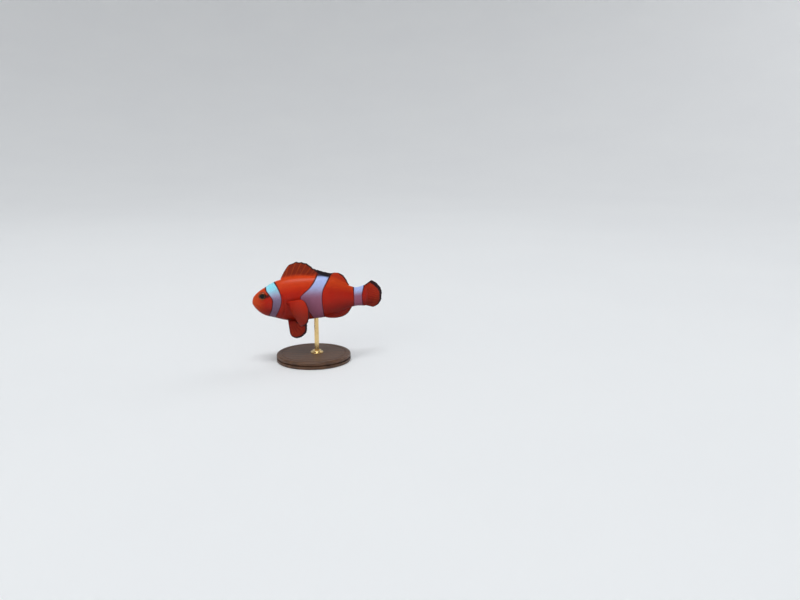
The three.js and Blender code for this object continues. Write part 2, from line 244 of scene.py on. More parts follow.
def girthTable():  # at each millimetre, half the girth and the turn at each share of it
    table = []
    steps = body["girthSteps"]
    for at in range(body["girthPlaces"] + 1):
        turns = [math.radians(-90 + 180 * k / steps) for k in range(steps + 1)]
        inBody = clamp(at, 0.3, body["tailBase"] + body["lobe"] - 0.5)
        points = [fleshPoint(inBody, turn) for turn in turns]
        run = [0.0]
        for k in range(steps):
            run.append(run[-1] + (points[k + 1] - points[k]).length)
        shares = [length / run[-1] + k * 1e-6 for k, length in enumerate(run)]
        table.append((run[-1], curveThrough(list(zip(shares, turns)))))
    return table


girths = girthTable()


def halfGirth(at):
    k = int(clamp(at, 0, body["girthPlaces"] - 2))
    return mix(girths[k][0], girths[k + 1][0], clamp(at - k))


def turnAt(at, share):  # share runs over the left flank from the belly, 0, to the back, 1
    k = int(clamp(at, 0, body["girthPlaces"] - 2))
    return mix(girths[k][1](share), girths[k + 1][1](share), clamp(at - k))


def flankTurn(at, height):
    level = levelAt(at)
    if height > level:
        return math.asin(clamp((height - level) / (backAt(at) - level)))
    return -math.asin(clamp((level - height) / (level - bellyAt(at))) ** (1 / body["bellyFullness"]))


def flankPoint(at, height):
    return fleshPoint(at, flankTurn(at, height))


# the head's relief, raised from or sunk into the flesh

mouth = {
    "tip": 0.1,  # height at the snout
    "corner": (3.6, -1.7),  # place and height
    "sag": 0.8,
    "slit": 0.55,
    "slitHalf": 0.16,
    "slitEnd": (-0.2, 0.45),  # past the corner
    "lip": 0.2,
    "upperLip": (0.48, 0.5),  # off the slit, and half its width
    "lowerLip": (-0.46, 0.46),
    "lipEnd": (-0.6, 0.7),
    "cornerLip": 0.55,  # the lips' size at the corner, as a share
    "lipGroove": 0.12,
    "grooves": (1.12, -1.05),  # off the slit
    "grooveHalf": 0.24,
    "grooveStart": (0.1, 0.8),
    "cornerFold": 0.10,
    "cornerFoldAt": 0.35,
    "cornerFoldLong": 0.7,
    "cornerFoldFrom": (-0.4, 0.3),
    "cornerFoldHalf": 0.55,
    "jawFold": 0.15,
    "jawFoldAt": 0.75,
    "jawFoldSlant": 0.28,
    "jawFoldHalf": 0.34,
    "jawFoldFrom": (-6.6, -4.6),
    "jawFoldTo": (-2.6, -1.6),
}
eye = {
    "at": (6.0, 3.6),
    "radius": 2.35,
    "halfDepth": 1.5,
    "proud": 0.6,
    "sideways": 0.45,
    "socket": 1.1,
    "socketEdge": (1.65, 2.07),
    "rim": (0.13, 2.32, 0.42),  # height, radius and half width
    "rimGroove": (0.1, 2.95, 0.3),
    "reach": 4.0,
    "lens": 0.12,  # the rise over the pupil
    "lensTo": 1.3,
    "pupil": 1.25,
    "streak": (2.3, 1.6),  # the dark streak that lies fore and aft across the iris
    "streakBack": 0.25,
    "segments": 64,
    "rings": 48,
}
nostril = {"at": (2.75, 3.35), "rim": (0.15, 0.34, 0.17), "hole": (0.35, 0.26)}
furrow = {  # from the mouth to the cheek bone
    "front": 3.4,
    "length": 2.4,
    "heights": (-0.9, 0.9),
    "depth": 0.08,
    "half": 0.35,
    "from": (3.0, 3.8),
    "to": (6.0, 8.2),
}
cheek = {  # the fore gill cover, with a saw edge
    "edge": 10.75,
    "middle": 0.5,
    "curves": (0.055, 0.03),  # below and above the middle
    "tooth": 0.11,
    "teethPerMm": 1.9,
    "scaleTooth": 0.05,
    "step": 0.15,
    "stepReach": 1.1,
    "sink": 0.1,
    "sinkReach": 0.6,
    "from": (-7.2, -5.8),
    "to": (1.2, 4.0),
}
gill = {  # the gill cover, a thin flap over the shoulder
    "at": (13.0, -1.0),
    "half": (3.9, 7.2),
    "lift": 0.26,
    "liftReach": 1.5,
    "groove": 0.24,
    "grooveReach": 0.55,
    "from": (-9.0, -7.0),
    "to": (3.6, 6.0),
    "rear": (-0.35, 0.2),  # ahead of or behind its middle, as a share
    "ribs": 0.02,
    "ribsFrom": (10.6, -0.5),
    "ribsPerRadian": 46,
    "shoulder": 0.12,
    "shoulderBehind": 1.5,
    "shoulderHalf": 1.1,
}
throat = {
    "depth": 0.2,
    "half": 0.3,
    "folds": (1.25, 2.2, 0.0),  # across
    "under": (0.72, 0.9),
    "from": (4.0, 6.0),
    "to": (13.0, 15.5),
}

gillRear = gill["at"][0] + gill["half"][0]
eyeAxis = fleshNormal(eye["at"][0], flankTurn(*eye["at"]))
eyeAxis = eyeAxis.lerp(Vector((0, -1, 0)), eye["sideways"]).normalized()
eyeCentre = flankPoint(*eye["at"]) + Vector((0, eye["halfDepth"] - eye["proud"], 0))
nostrilPoint = flankPoint(*nostril["at"])


def mouthRelief(at, height):
    cornerAt, cornerHeight = mouth["corner"]
    back = clamp(at / cornerAt)
    off = height - mix(mouth["tip"], cornerHeight, back ** mouth["sag"])
    past = max(at - cornerAt, 0.0)
    narrow = mix(1.0, mouth["cornerLip"], back ** 2)
    lipFade = 1 - ramp(past, *mouth["lipEnd"])
    rise = -mouth["slit"] * hump(off, mouth["slitHalf"]) * (1 - ramp(past, *mouth["slitEnd"]))
    for place, half in (mouth["upperLip"], mouth["lowerLip"]):
        rise += mouth["lip"] * hump(off - place * narrow, half * narrow) * lipFade
    for place in mouth["grooves"]:
        groove = hump(off - place * narrow, mouth["grooveHalf"])
        rise -= mouth["lipGroove"] * groove * lipFade * ramp(at, *mouth["grooveStart"])
    behind = ramp(at - cornerAt, *mouth["cornerFoldFrom"])
    foldAt = cornerAt + mouth["cornerFoldAt"]
    ring = math.hypot((at - foldAt) / mouth["cornerFoldLong"], height - cornerHeight)
    rise += mouth["cornerFold"] * hump(ring - 1.0, mouth["cornerFoldHalf"]) * behind
    fold = at - (cornerAt + mouth["jawFoldAt"] + mouth["jawFoldSlant"] * (cornerHeight - height))
    onJaw = between(height, mouth["jawFoldFrom"], mouth["jawFoldTo"])
    return rise - mouth["jawFold"] * hump(fold, mouth["jawFoldHalf"]) * onJaw


def eyeRelief(side):
    away = side - eyeCentre
    r = (away - eyeAxis * away.dot(eyeAxis)).length
    if away.dot(eyeAxis) <= -1.0 or r >= eye["reach"]:
        return 0.0
    rim, rimAt, rimHalf = eye["rim"]
    groove, grooveAt, grooveHalf = eye["rimGroove"]
    rise = rim * hump(r - rimAt, rimHalf) - groove * hump(r - grooveAt, grooveHalf)
    return rise - eye["socket"] * (1 - ramp(r, *eye["socketEdge"]))


def nostrilRelief(side):
    near = (side - nostrilPoint).length
    rim, rimAt, rimHalf = nostril["rim"]
    hole, holeHalf = nostril["hole"]
    return rim * hump(near - rimAt, rimHalf) - hole * hump(near, holeHalf)


def furrowRelief(at, height):
    line = mix(*furrow["heights"], clamp((at - furrow["front"]) / furrow["length"]))
    return -furrow["depth"] * hump(height - line, furrow["half"]) * between(at, furrow["from"], furrow["to"])


def cheekEdge(height):
    off = height - cheek["middle"]
    return cheek["edge"] - cheek["curves"][0 if off < 0 else 1] * off ** 2


def cheekRelief(at, height, root):
    teeth = cheek["scaleTooth"]
    if root is None:
        teeth = cheek["tooth"] * abs(((height * cheek["teethPerMm"]) % 1.0) * 2 - 1)
    behind = at - cheekEdge(height) - teeth
    if root:
        behind = min(behind, -0.01) if root["onCheek"] else max(behind, 0.01)
    if behind < 0:
        step = cheek["step"] * math.exp(behind / cheek["stepReach"])
    else:
        step = -cheek["sink"] * math.exp(-behind / cheek["sinkReach"])
    return step * between(height, cheek["from"], cheek["to"])


def fromGillEdge(at, height):  # above 0 inside the gill cover; the second value is 1 at its rear edge
    dx = (at - gill["at"][0]) / gill["half"][0]
    dz = (height - gill["at"][1]) / gill["half"][1]
    out = math.hypot(dx, dz) + 1e-6
    grade = math.hypot(dx / gill["half"][0], dz / gill["half"][1]) / out + 1e-6
    return (1 - out) / grade, ramp(dx / out, *gill["rear"])


def gillEdgeAt(height):
    t = clamp(abs(height - gill["at"][1]) / gill["half"][1])
    return gill["at"][0] + gill["half"][0] * math.sqrt(1 - t * t)


def gillRelief(at, height, root):
    inside, rear = fromGillEdge(at, height)
    edge = rear * between(height, gill["from"], gill["to"])
    if root:
        inside = max(inside, 0.01) if root["onCover"] else min(inside, 0.0)
    if inside > 0:
        ribAt, ribHeight = gill["ribsFrom"]
        fan = math.atan2(height - ribHeight, at - ribAt)
        ribs = gill["ribs"] * math.sin(fan * gill["ribsPerRadian"]) * hump(inside - 1.0, 1.0)
        return (gill["lift"] * math.exp(-inside / gill["liftReach"]) + ribs) * edge
    shoulder = gill["shoulder"] * hump(inside + gill["shoulderBehind"], gill["shoulderHalf"])
    return (shoulder - gill["groove"] * math.exp(inside / gill["grooveReach"])) * edge


def throatRelief(at, across, turn):
    under = ramp(-math.sin(turn), *throat["under"]) * between(at, throat["from"], throat["to"])
    return -throat["depth"] * under * sum(hump(across - fold, throat["half"]) for fold in throat["folds"])


def headRelief(point, turn, root):  # root is given for a scale, which stays on its root's side of an edge
    at, height = point.x, point.z
    side = Vector((at, -abs(point.y), height))
    rise = mouthRelief(at, height) + eyeRelief(side) + nostrilRelief(side) + furrowRelief(at, height)
    rise += cheekRelief(at, height, root) + gillRelief(at, height, root)
    return rise + throatRelief(at, abs(point.y), turn)


def skinDepth(at):
    return mix(body["snoutDepth"], body["coatDepth"], ramp(at, 1.0, 6.0))


def skinPoint(at, turn, normal=None, root=None, sunk=0.0):
    point = fleshPoint(at, turn)
    normal = normal or fleshNormal(at, turn)
    rise = 0.0
    if at < body["headFade"][1]:
        rise = headRelief(point, turn, root) * (1 - ramp(at, *body["headFade"]))
    return point + normal * (rise - skinDepth(at) - sunk)


def ringPlaces():
    places = []
    step = body["snoutStep"]
    q = step
    while 2 * q * step <= body["headRings"]:  # roots of the distance keep the rings even over the snout
        places.append(q * q)
        q += step
    at = places[-1]
    while at < body["headEnd"]:
        at += mix(body["headRings"], body["edgeRings"], hump(at - gillRear, body["edgeReach"]))
        places.append(at)
    steps = round((body["tailBase"] - at) / body["trunkRings"])
    places += [mix(at, body["tailBase"], (k + 1) / steps) for k in range(steps)]
    rings = body["lobeRings"]
    places += [body["tailBase"] + body["lobe"] * (1 - (1 - k / rings) ** 2) for k in range(1, rings)]
    return places


def bentRing(at, height):  # rings follow the rear edge of the gill cover
    front, rear = body["ringBendEnds"]
    shift = max(gillEdgeAt(height) - gillRear, body["ringBend"]) * between(height, *body["ringBendUp"])
    return at + shift * between(at, (front, gillRear), (gillRear, rear))


def buildBody():
    bm = bmesh.new()
    places = ringPlaces()
    columns = body["columns"]
    bmesh.ops.create_uvsphere(bm, u_segments=columns, v_segments=len(places) + 1, radius=1)
    ink = bm.verts.layers.float.new("ink")
    for vert in bm.verts:
        vert[ink] = farOff
        tilt = math.acos(clamp(vert.co.z, -1, 1)) / math.pi * (len(places) + 1)
        ring = round(tilt) - 1
        if ring < 0:  # the tip of the snout lies in the mouth's slit
            vert.co = Vector((skinDepth(0) + mouth["slit"] * 0.6, 0, mouth["tip"]))
            continue
        if ring >= len(places):
            vert.co = fleshPoint(body["tailBase"] + body["lobe"], 0)
            continue
        column = round(math.atan2(vert.co.y, vert.co.x) / (2 * math.pi) * columns) % columns
        left = column <= columns // 2
        share = column / columns * 2 if left else (columns - column) / columns * 2
        turn = turnAt(places[ring], share)
        at = bentRing(places[ring], fleshPoint(places[ring], turn).z)
        flank = fleshPoint(at, turn)
        sunk = coat["sunk"] * howGrown(at, flank.z, flank.y)
        vert.co = skinPoint(at, turn if left else math.pi - turn, sunk=sunk)
    bmesh.ops.recalc_face_normals(bm, faces=bm.faces[:])
    bm.faces.layers.int.new("source")
    return bm


# fins: a closed thin sheet each, with rays standing out of it and a rim that dips between them

# bury is how far a fin runs into the flesh, and foot how much thicker it is there. ray and film are their
# thicknesses at the root, and rayTip and filmTip at the rim. fork is where soft rays part, as a share of
# their length. ink is the width of the black margin along the fin, and endInk at its two end rays.
dorsalFin = {
    "spines": 11, "softRays": 15, "cells": 8, "rows": 30,
    "spinesFrom": 15.6, "spinesTo": 40.2, "softFrom": 41.3, "softTo": 51.6, "lean": 0.55,
    "outline": (  # place, height above the back
        (15.6, 0.35), (19.6, 6.3), (23.0, 8.0), (27.0, 8.2), (30.3, 7.2), (33.4, 4.7), (36.6, 3.5),
        (40.6, 2.95), (42.3, 3.0), (44.6, 3.9), (47.2, 4.5), (49.2, 4.1), (50.6, 2.7), (51.6, 0.9),
        (53.4, 0.1),
    ),
    "bury": 1.0, "foot": 0.8, "footReach": 0.8, "ray": 0.46, "rayTip": 0.2, "film": 0.12, "filmTip": 0.08,
    "fork": 0.5, "dip": 0.045, "wave": 0.12,
    "ink": (
        (0.0, 0.3), (0.15, 0.8), (0.25, 1.1), (0.3, 1.9), (0.35, 2.3), (0.42, 2.2), (0.46, 0.9), (0.7, 0.8),
        (1.0, 0.5),
    ),
    "endInk": (0.0, 0.35),
}
analFin = {
    "rays": 14, "cells": 8, "rows": 20, "start": 38.6, "end": 52.8, "lean": 0.5,
    "outline": (  # place, depth below the belly
        (38.6, 0.15), (40.2, 0.85), (42.0, 1.6), (45.5, 2.7), (48.4, 3.2), (50.4, 2.8), (51.8, 1.7),
        (53.0, 0.3), (54.0, 0.1),
    ),
    "bury": 1.0, "foot": 0.8, "footReach": 0.8, "ray": 0.42, "rayTip": 0.18, "film": 0.12, "filmTip": 0.08,
    "fork": 0.5, "dip": 0.012, "wave": 0.12,
    "ink": ((0.0, -0.2), (0.3, 0.15), (0.7, 0.4), (1.0, 0.3)), "endInk": (-0.5, -0.2),
}
tailFin = {
    "rays": 17, "cells": 8, "rows": 32, "start": 59.6, "tip": 71.7, "rootHalf": 5.044, "tipHalf": 7.6,
    "lowerLoss": (0.55, 2.8), "upperLoss": (0.64, 1.25), "spreadPower": 1.5,  # share of the length, power
    "bury": 0.0, "foot": 0.35, "footReach": 3.0, "ray": 0.5, "rayTip": 0.2, "film": 0.16, "filmTip": 0.08,
    "fork": 0.45, "dip": 0.012, "wave": 0.15,
    "ink": ((0.0, 0.6), (0.25, 1.3), (0.5, 1.9), (0.8, 2.3), (1.0, 1.7)), "endInk": (0.15, 0.7),
}
pectoralFin = {
    "rays": 17, "cells": 6, "rows": 34,
    "at": 20.6, "height": -1.6, "rootSpan": 5.4, "rootSlant": 0.15, "root": 1.2,
    "length": 12.6, "spread": 42, "down": 36, "out": 33, "cup": 1.3, "tipLoss": 0.28, "cornerLoss": 0.16,
    "bury": 1.9, "foot": 1.7, "footReach": 1.9, "ray": 0.44, "rayTip": 0.18, "film": 0.12, "filmTip": 0.07,
    "fork": 0.5, "dip": 0.012, "wave": 0.1,
    "ink": ((0.0, 0.3), (0.4, 0.6), (1.0, 0.5)), "endInk": (0.0, 0.1),
}
pelvicFin = {
    "rays": 7, "cells": 10, "rows": 30,
    "at": 19.9, "height": -11.1, "across": 1.9, "rootSpan": 2.6, "rootSlant": -3.0, "root": 1.2,
    "length": 10.2, "spread": 34, "down": 50, "out": 10, "cup": 0.5, "tipLoss": 0.3, "cornerLoss": 0.14,
    "bury": 2.2, "foot": 1.1, "footReach": 2.2, "ray": 0.5, "rayTip": 0.2, "film": 0.13, "filmTip": 0.08,
    "fork": 0.4, "dip": 0.01, "wave": 0.08,
    "ink": ((0.0, 1.3), (0.5, 1.1), (1.0, 0.7)), "endInk": (0.6, 0.15),
}
finForm = {
    "spineHalf": 0.1,  # half the width of a spine or a ray, as a share of the space between two
    "rayHalf": 0.14,
    "forkTo": 0.78,
    "forkSpread": 0.25,
    "softDip": 0.2,
    "rimFrom": 0.5,
    "uneven": 0.015,
    "unevenWaves": ((0.008, 2.3, 0.7), (0.006, 5.1, 0.0)),  # size, turns to a space, start
    "rayFadeFrom": 0.94,
    "rayFade": 0.6,
    "footPower": 1.3,
    "endThin": 0.45,
    "endPerSpace": 1.5,
    "runOut": (0.3, 1.6),  # thickness left where a fin runs out into back or belly, and over how many spaces
    "waveTurns": (0.9, 2.0),  # for each space along, and from root to rim
    "noInk": -0.6,
    "inkFree": (0.05, 0.4),
}
gap = 0.3  # between the solids of the frame


def dorsalPlace(u):  # spines stand wider apart than soft rays
    n = u * (dorsalFin["spines"] + dorsalFin["softRays"] - 1)
    last = dorsalFin["spines"] - 1
    if n <= last:
        return mix(dorsalFin["spinesFrom"], dorsalFin["spinesTo"], n / last)
    if n <= last + 1:
        return mix(dorsalFin["spinesTo"], dorsalFin["softFrom"], n - last)
    return mix(dorsalFin["softFrom"], dorsalFin["softTo"], (n - last - 1) / (dorsalFin["softRays"] - 1))


def analPlace(u):
    return mix(analFin["start"], analFin["end"], u)


def ridgeRay(fin, placeAt, edge, up):
    rise = outlineOf(fin["outline"], 1)

    def rayAt(u):
        start = placeAt(u)
        tip = start + fin["lean"] * rise(start)
        root = Vector((start, 0, edge(start) - up * body["coatDepth"]))
        end = Vector((tip, 0, edge(min(tip, body["tailBase"])) + up * rise(tip)))
        return root, end, Vector((0, 1, 0)), 0.0

    return rayAt


def tailRay(fin):
    def rayAt(u):
        t = u * 2 - 1
        size = abs(t)
        start = body["tailBase"] + gap
        loss, power = fin["upperLoss"] if t > 0 else fin["lowerLoss"]
        length = (fin["tip"] - start) * (1 - loss * size ** power)
        height = math.copysign((1 - (1 - size) ** fin["spreadPower"]) * fin["tipHalf"], t)
        root = Vector((fin["start"], 0, t * fin["rootHalf"]))
        return root, Vector((start + length, 0, height)), Vector((0, 1, 0)), 0.0

    return rayAt


def fanRay(fin, side, across):
    down, out, spread = (math.radians(fin[key]) for key in ("down", "out", "spread"))
    reach = Vector((math.cos(down) * math.cos(out), side * math.sin(out), -math.sin(down) * math.cos(out)))
    rootLine = Vector((fin["rootSlant"], 0, -1)).normalized()
    normal = rootLine.cross(reach).normalized()
    centre = Vector((fin["at"], side * (across + gap + fin["root"] / 2), fin["height"]))

    def rayAt(u):
        t = u * 2 - 1
        root = centre + rootLine * (t * fin["rootSpan"] / 2)
        direction = Matrix.Rotation(-t * spread, 3, normal) @ reach
        length = fin["length"] * (1 - fin["tipLoss"] * t * t - fin["cornerLoss"] * t ** 12)
        return root, root + direction * length, normal, side * fin["cup"]

    return rayAt


def rimDip(fin, n, offRay, soft):  # the share that the fin is shorter by, n spaces along
    tooth = offRay * 2 if soft < 0.5 else abs(math.sin(offRay * 2 * math.pi))
    share = mix(1.0, finForm["softDip"], soft if "spines" in fin else 0.0)
    uneven = finForm["uneven"]
    for size, turns, start in finForm["unevenWaves"]:
        uneven += size * math.sin(n * turns + start)
    return fin["dip"] * share * (1 - (1 - tooth) ** 2) + uneven


def finThickness(fin, v, length, fromRay, soft, fromEnd):
    out = clamp(v)
    ridge = math.exp(-(fromRay / mix(finForm["spineHalf"], finForm["rayHalf"], soft)) ** 2)
    ridge *= 1 - finForm["rayFade"] * ramp(v, finForm["rayFadeFrom"], 1.0)
    thick = mix(mix(fin["film"], fin["filmTip"], out), mix(fin["ray"], fin["rayTip"], out), ridge)
    thick += fin["foot"] * math.exp(-((out * length / fin["footReach"]) ** finForm["footPower"]))
    thick *= 1 - finForm["endThin"] * (1 - clamp(fromEnd * finForm["endPerSpace"]))
    if "outline" in fin:
        left, spaces = finForm["runOut"]
        thick *= mix(left, 1.0, ramp(fromEnd, 0.0, spaces))
    return thick


def buildFin(fin, rayAt):
    bm = bmesh.new()
    hard = fin.get("spines", 0)
    spans = fin.get("rays", 0) + hard + fin.get("softRays", 0) - 1
    bmesh.ops.create_grid(bm, x_segments=spans * fin["cells"], y_segments=fin["rows"], size=0.5)
    layers = [bm.verts.layers.float.new(name) for name in ("finOut", "finRay", "ink", "paired")]
    finOut, finRay, ink, paired = layers
    near = bm.verts[:]
    sheet = bmesh.ops.extrude_face_region(bm, geom=bm.faces[:])["geom"]
    far = [part for part in sheet if isinstance(part, bmesh.types.BMVert)]
    inkWidth = curveThrough(fin["ink"])
    firstRay, lastRay = rayAt(0.0), rayAt(1.0)
    perSpace, perLength = finForm["waveTurns"]
    faced = [(vert, -1) for vert in near] + [(vert, 1) for vert in far]
    for vert, way in faced:
        u = clamp(vert.co.x + 0.5)
        v = vert.co.y + 0.5
        root, tip, normal, cup = rayAt(u)
        length = (tip - root).length
        n = u * spans
        offRay = abs(n - round(n))  # 0 on a ray, 0.5 half way to the next
        soft = ramp(n, hard - 1, hard) if hard else 1.0
        v = mix(-fin["bury"] / length, 1.0, v)
        out = clamp(v)
        fromRay = abs(offRay - ramp(v, fin["fork"], finForm["forkTo"]) * finForm["forkSpread"] * soft)
        reach = v * (1 - rimDip(fin, n, offRay, soft) * ramp(v, finForm["rimFrom"], 1.0))
        wave = fin["wave"] * math.sin(n * perSpace + v * perLength) * out * out
        middle = root.lerp(tip, reach) + normal * (cup * reach * abs(reach) + wave)
        thick = finThickness(fin, v, length, fromRay, soft, min(u, 1 - u) * spans)
        vert.co = middle + normal * (way * thick / 2)
        vert[finOut] = out * length
        vert[finRay] = fromRay
        vert[paired] = 1.0 if "down" in fin else 0.0
        span = (lastRay[0].lerp(lastRay[1], out) - firstRay[0].lerp(firstRay[1], out)).length
        free = ramp(out, *finForm["inkFree"])
        vert[ink] = max(
            inkWidth(u) - (1 - out) * length,
            mix(finForm["noInk"], fin["endInk"][0] - u * span, free),
            mix(finForm["noInk"], fin["endInk"][1] - (1 - u) * span, free),
        )
    bmesh.ops.recalc_face_normals(bm, faces=bm.faces[:])
    source = bm.faces.layers.int.new("source")
    for flat in bm.faces:
        flat[source] = 1
    return bm


def objectFrom(bm, name):
    mesh = bpy.data.meshes.new(name)
    bm.to_mesh(mesh)
    bm.free()
    return placed(mesh, name)


def placed(mesh, name):
    piece = bpy.data.objects.new(name, mesh)
    bpy.context.scene.collection.objects.link(piece)
    return piece


def triangles(mesh):
    return sum(len(polygon.vertices) - 2 for polygon in mesh.polygons)


def joined(piece, others):
    for other in others:
        union = piece.modifiers.new("union", "BOOLEAN")
        union.operation = "UNION"
        union.solver = "MANIFOLD"
        union.object = other
    depsgraph = bpy.context.evaluated_depsgraph_get()
    mesh = bpy.data.meshes.new_from_object(piece.evaluated_get(depsgraph))
    piece.modifiers.clear()
    piece.data = mesh
    for other in others:
        bpy.data.objects.remove(other)
    return piece


def softenJoins(mesh, rounds=6, spread=3):
    bm = bmesh.new()
    bm.from_mesh(mesh)
    source = bm.faces.layers.int["source"]
    joins = [edge for edge in bm.edges if len({flat[source] for flat in edge.link_faces}) > 1]
    seam = {vert for edge in joins for vert in edge.verts}
    print("joins:", len(seam), "points")
    for _ in range(spread):
        seam |= {edge.other_vert(vert) for vert in seam for edge in vert.link_edges}
    for _ in range(rounds):
        bmesh.ops.smooth_vert(
            bm, verts=list(seam), factor=0.5, use_axis_x=True, use_axis_y=True, use_axis_z=True,
        )
    bm.to_mesh(mesh)
    bm.free()


# markings: three white bars with black along their edges, each edge a line of heights and places

bars = {
    "head": {
        "front": (
            (-9.0, 8.2), (-6.0, 9.3), (-4.2, 10.2), (-0.8, 11.0), (1.9, 11.1), (4.0, 9.9), (6.5, 8.1),
            (8.3, 7.8), (10.6, 7.6),
        ),
        "rear": (
            (-9.0, 11.6), (-6.7, 12.6), (-4.3, 13.9), (-1.5, 15.1), (2.3, 15.7), (4.9, 15.2), (8.0, 13.8),
            (10.6, 12.1),
        ),
        "bottom": -8.3,
    },
    "middle": {
        "front": (
            (-11.0, 32.6), (-9.0, 31.8), (-5.2, 29.9), (-1.0, 28.0), (1.6, 25.9), (2.8, 25.9), (4.6, 27.8),
            (6.7, 30.5), (9.9, 33.3), (12.3, 34.8), (16.0, 36.4),
        ),
        "rear": (
            (-11.0, 38.4), (-8.2, 37.7), (-3.4, 37.1), (1.5, 37.0), (5.8, 37.7), (9.2, 39.5), (11.3, 40.9),
            (16.0, 43.2),
        ),
        "bottom": -20.0,
    },
    "tail": {
        "front": ((-6.0, 54.1), (3.0, 54.1), (6.0, 54.5)),
        "rear": ((-6.0, 59.8), (-4.5, 59.1), (-2.1, 58.6), (0.7, 58.6), (3.8, 59.4), (6.0, 60.4)),
        "bottom": -20.0,
    },
}
barEdges = [(curveThrough(bar["front"]), curveThrough(bar["rear"]), bar["bottom"]) for bar in bars.values()]
barReach = 3.0  # past which a bar's edge doesn't count


def insideBars(at, height):  # the distance into the nearest bar, below 0 outside it
    best = farOff
    nudge = 0.1
    for frontAt, rearAt, bottom in barEdges:
        front = frontAt(height)
        rear = rearAt(height)
        if at < front - barReach or at > rear + barReach:
            continue
        frontSlope = (frontAt(height + nudge) - front) / nudge
        rearSlope = (rearAt(height + nudge) - rear) / nudge
        fromFront = (at - front) / math.hypot(1, frontSlope)
        fromRear = (rear - at) / math.hypot(1, rearSlope)
        best = max(best, min(fromFront, fromRear, height - bottom))
    return best


def setValues(mesh, name, values):
    mesh.attributes.new(name, "FLOAT", "POINT").data.foreach_set("value", values)


def heightShare(point):  # -1 at the belly, 0 on the widest line, 1 at the back, and further out on the fins
    most = 1.6
    at = clamp(point.x, 0.35, body["tailBase"])
    level = levelAt(at)
    if point.z > level:
        return min((point.z - level) / (backAt(at) - level), most)
    return max((point.z - level) / (level - bellyAt(at)), -most)


def markMesh(mesh, straight, paired=None):  # the paired fins have no bars
    depths = [insideBars(point.x, point.z) for point in straight]
    if paired:
        depths = [farOff if onPaired > 0.5 else depth for depth, onPaired in zip(depths, paired)]
    setValues(mesh, "bar", depths)
    setValues(mesh, "high", [heightShare(point) for point in straight])
    setValues(mesh, "along", [point.x for point in straight])


# shaders

class Wire:  # a socket's value, for writing shader sums as sums
    def __init__(self, finish, socket):
        self.finish = finish
        self.socket = socket

    def math(self, operation, *values):
        return self.finish.add("ShaderNodeMath", {"operation": operation}, values)

    def __add__(self, other):
        return self.math("ADD", self, other)

    def __radd__(self, other):
        return self.math("ADD", other, self)

    def __sub__(self, other):
        return self.math("SUBTRACT", self, other)

    def __rsub__(self, other):
        return self.math("SUBTRACT", other, self)

    def __mul__(self, other):
        return self.math("MULTIPLY", self, other)

    def __rmul__(self, other):
        return self.math("MULTIPLY", other, self)

    def __truediv__(self, other):
        return self.math("DIVIDE", self, other)

    def sine(self):
        return self.math("SINE", self)

    def above(self, low, high):  # 0 below low, 1 above high, smooth between
        inputs = {"Value": self, "From Min": low, "From Max": high}
        return self.finish.add("ShaderNodeMapRange", {"interpolation_type": "SMOOTHSTEP"}, inputs)

    def below(self, low, high):
        return 1 - self.above(low, high)


class Finish:  # a material and its nodes
    def __init__(self, name):
        self.material = bpy.data.materials.new(name)
        self.material.use_nodes = True
        self.nodes = self.material.node_tree.nodes
        self.links = self.material.node_tree.links
        self.shader = self.nodes["Principled BSDF"]

    def add(self, kind, settings=None, inputs=None, output=0):
        node = self.nodes.new(kind)
        for key, value in (settings or {}).items():
            setattr(node, key, value)
        pairs = inputs.items() if isinstance(inputs, dict) else enumerate(inputs or ())
        for key, value in pairs:
            self.fill(node.inputs[key], value)
        return Wire(self, node.outputs[output])

    def fill(self, socket, value):
        if isinstance(value, Wire):
            self.links.new(value.socket, socket)
        elif socket.type == "RGBA" and len(value) == 3:
            socket.default_value = (*value, 1)
        else:
            socket.default_value = value

    def attribute(self, name):
        return self.add("ShaderNodeAttribute", {"attribute_name": name}, output="Fac")

    def place(self):
        return self.add("ShaderNodeTexCoord", output="Object")

    def stretched(self, scale):
        return self.add("ShaderNodeMapping", None, {"Vector": self.place(), "Scale": scale})

    def noise(self, scale, detail=3.0, vector=None):
        inputs = {"Vector": vector or self.place(), "Scale": scale, "Detail": detail}
        return self.add("ShaderNodeTexNoise", None, inputs, "Fac")

    def blend(self, factor, start, end):  # inputs 6 and 7 and output 2 are the node's colours
        return self.add("ShaderNodeMix", {"data_type": "RGBA"}, {"Factor": factor, 6: start, 7: end}, 2)

    def scaled(self, colour, factor):
        return self.add("ShaderNodeVectorMath", {"operation": "SCALE"}, {"Vector": colour, "Scale": factor})

    def bump(self, height, distance):
        return self.add("ShaderNodeBump", None, {"Height": height, "Distance": distance}, "Normal")

    def set(self, **values):
        for key, value in values.items():
            self.fill(self.shader.inputs[key.replace("_", " ")], value)
        return self.material


fishColours = {
    # painted light: the back's orange, lighter as if lit from above
    "orangeLitTop": (0.78, 0.066, 0.008),
    "orange": (0.60, 0.016, 0.0015),
    # painted shade: a darker orange towards the belly and behind the gill cover; also the colour of the dark
    # flecks
    "orangeLow": (0.25, 0.006, 0.001),
    "bright": (0.95, 0.18, 0.02),
    # painted light: a brighter orange on the snout's upper half
    "snout": (0.74, 0.085, 0.012),
    # the bars' tops: their own bluish white, brightened to cyan and lilac by painted light from above
    "cyanTop": (0.34, 0.85, 0.99),
    "lilacTop": (0.50, 0.60, 0.97),
    # painted shade: the bars' white dims to a lilac grey, then to mauve and a dark lilac towards the belly
    "white": (0.42, 0.37, 0.58),
    "mauveShade": (0.35, 0.095, 0.165),
    "whiteShadedLow": (0.22, 0.085, 0.13),
    # painted shade: the lower half of the head's bar
    "headBarShade": (0.12, 0.095, 0.16),
    "finOverBar": (0.022, 0.020, 0.045),
    "black": (0.010, 0.007, 0.010),
    "smoke": (0.20, 0.020, 0.003),
}

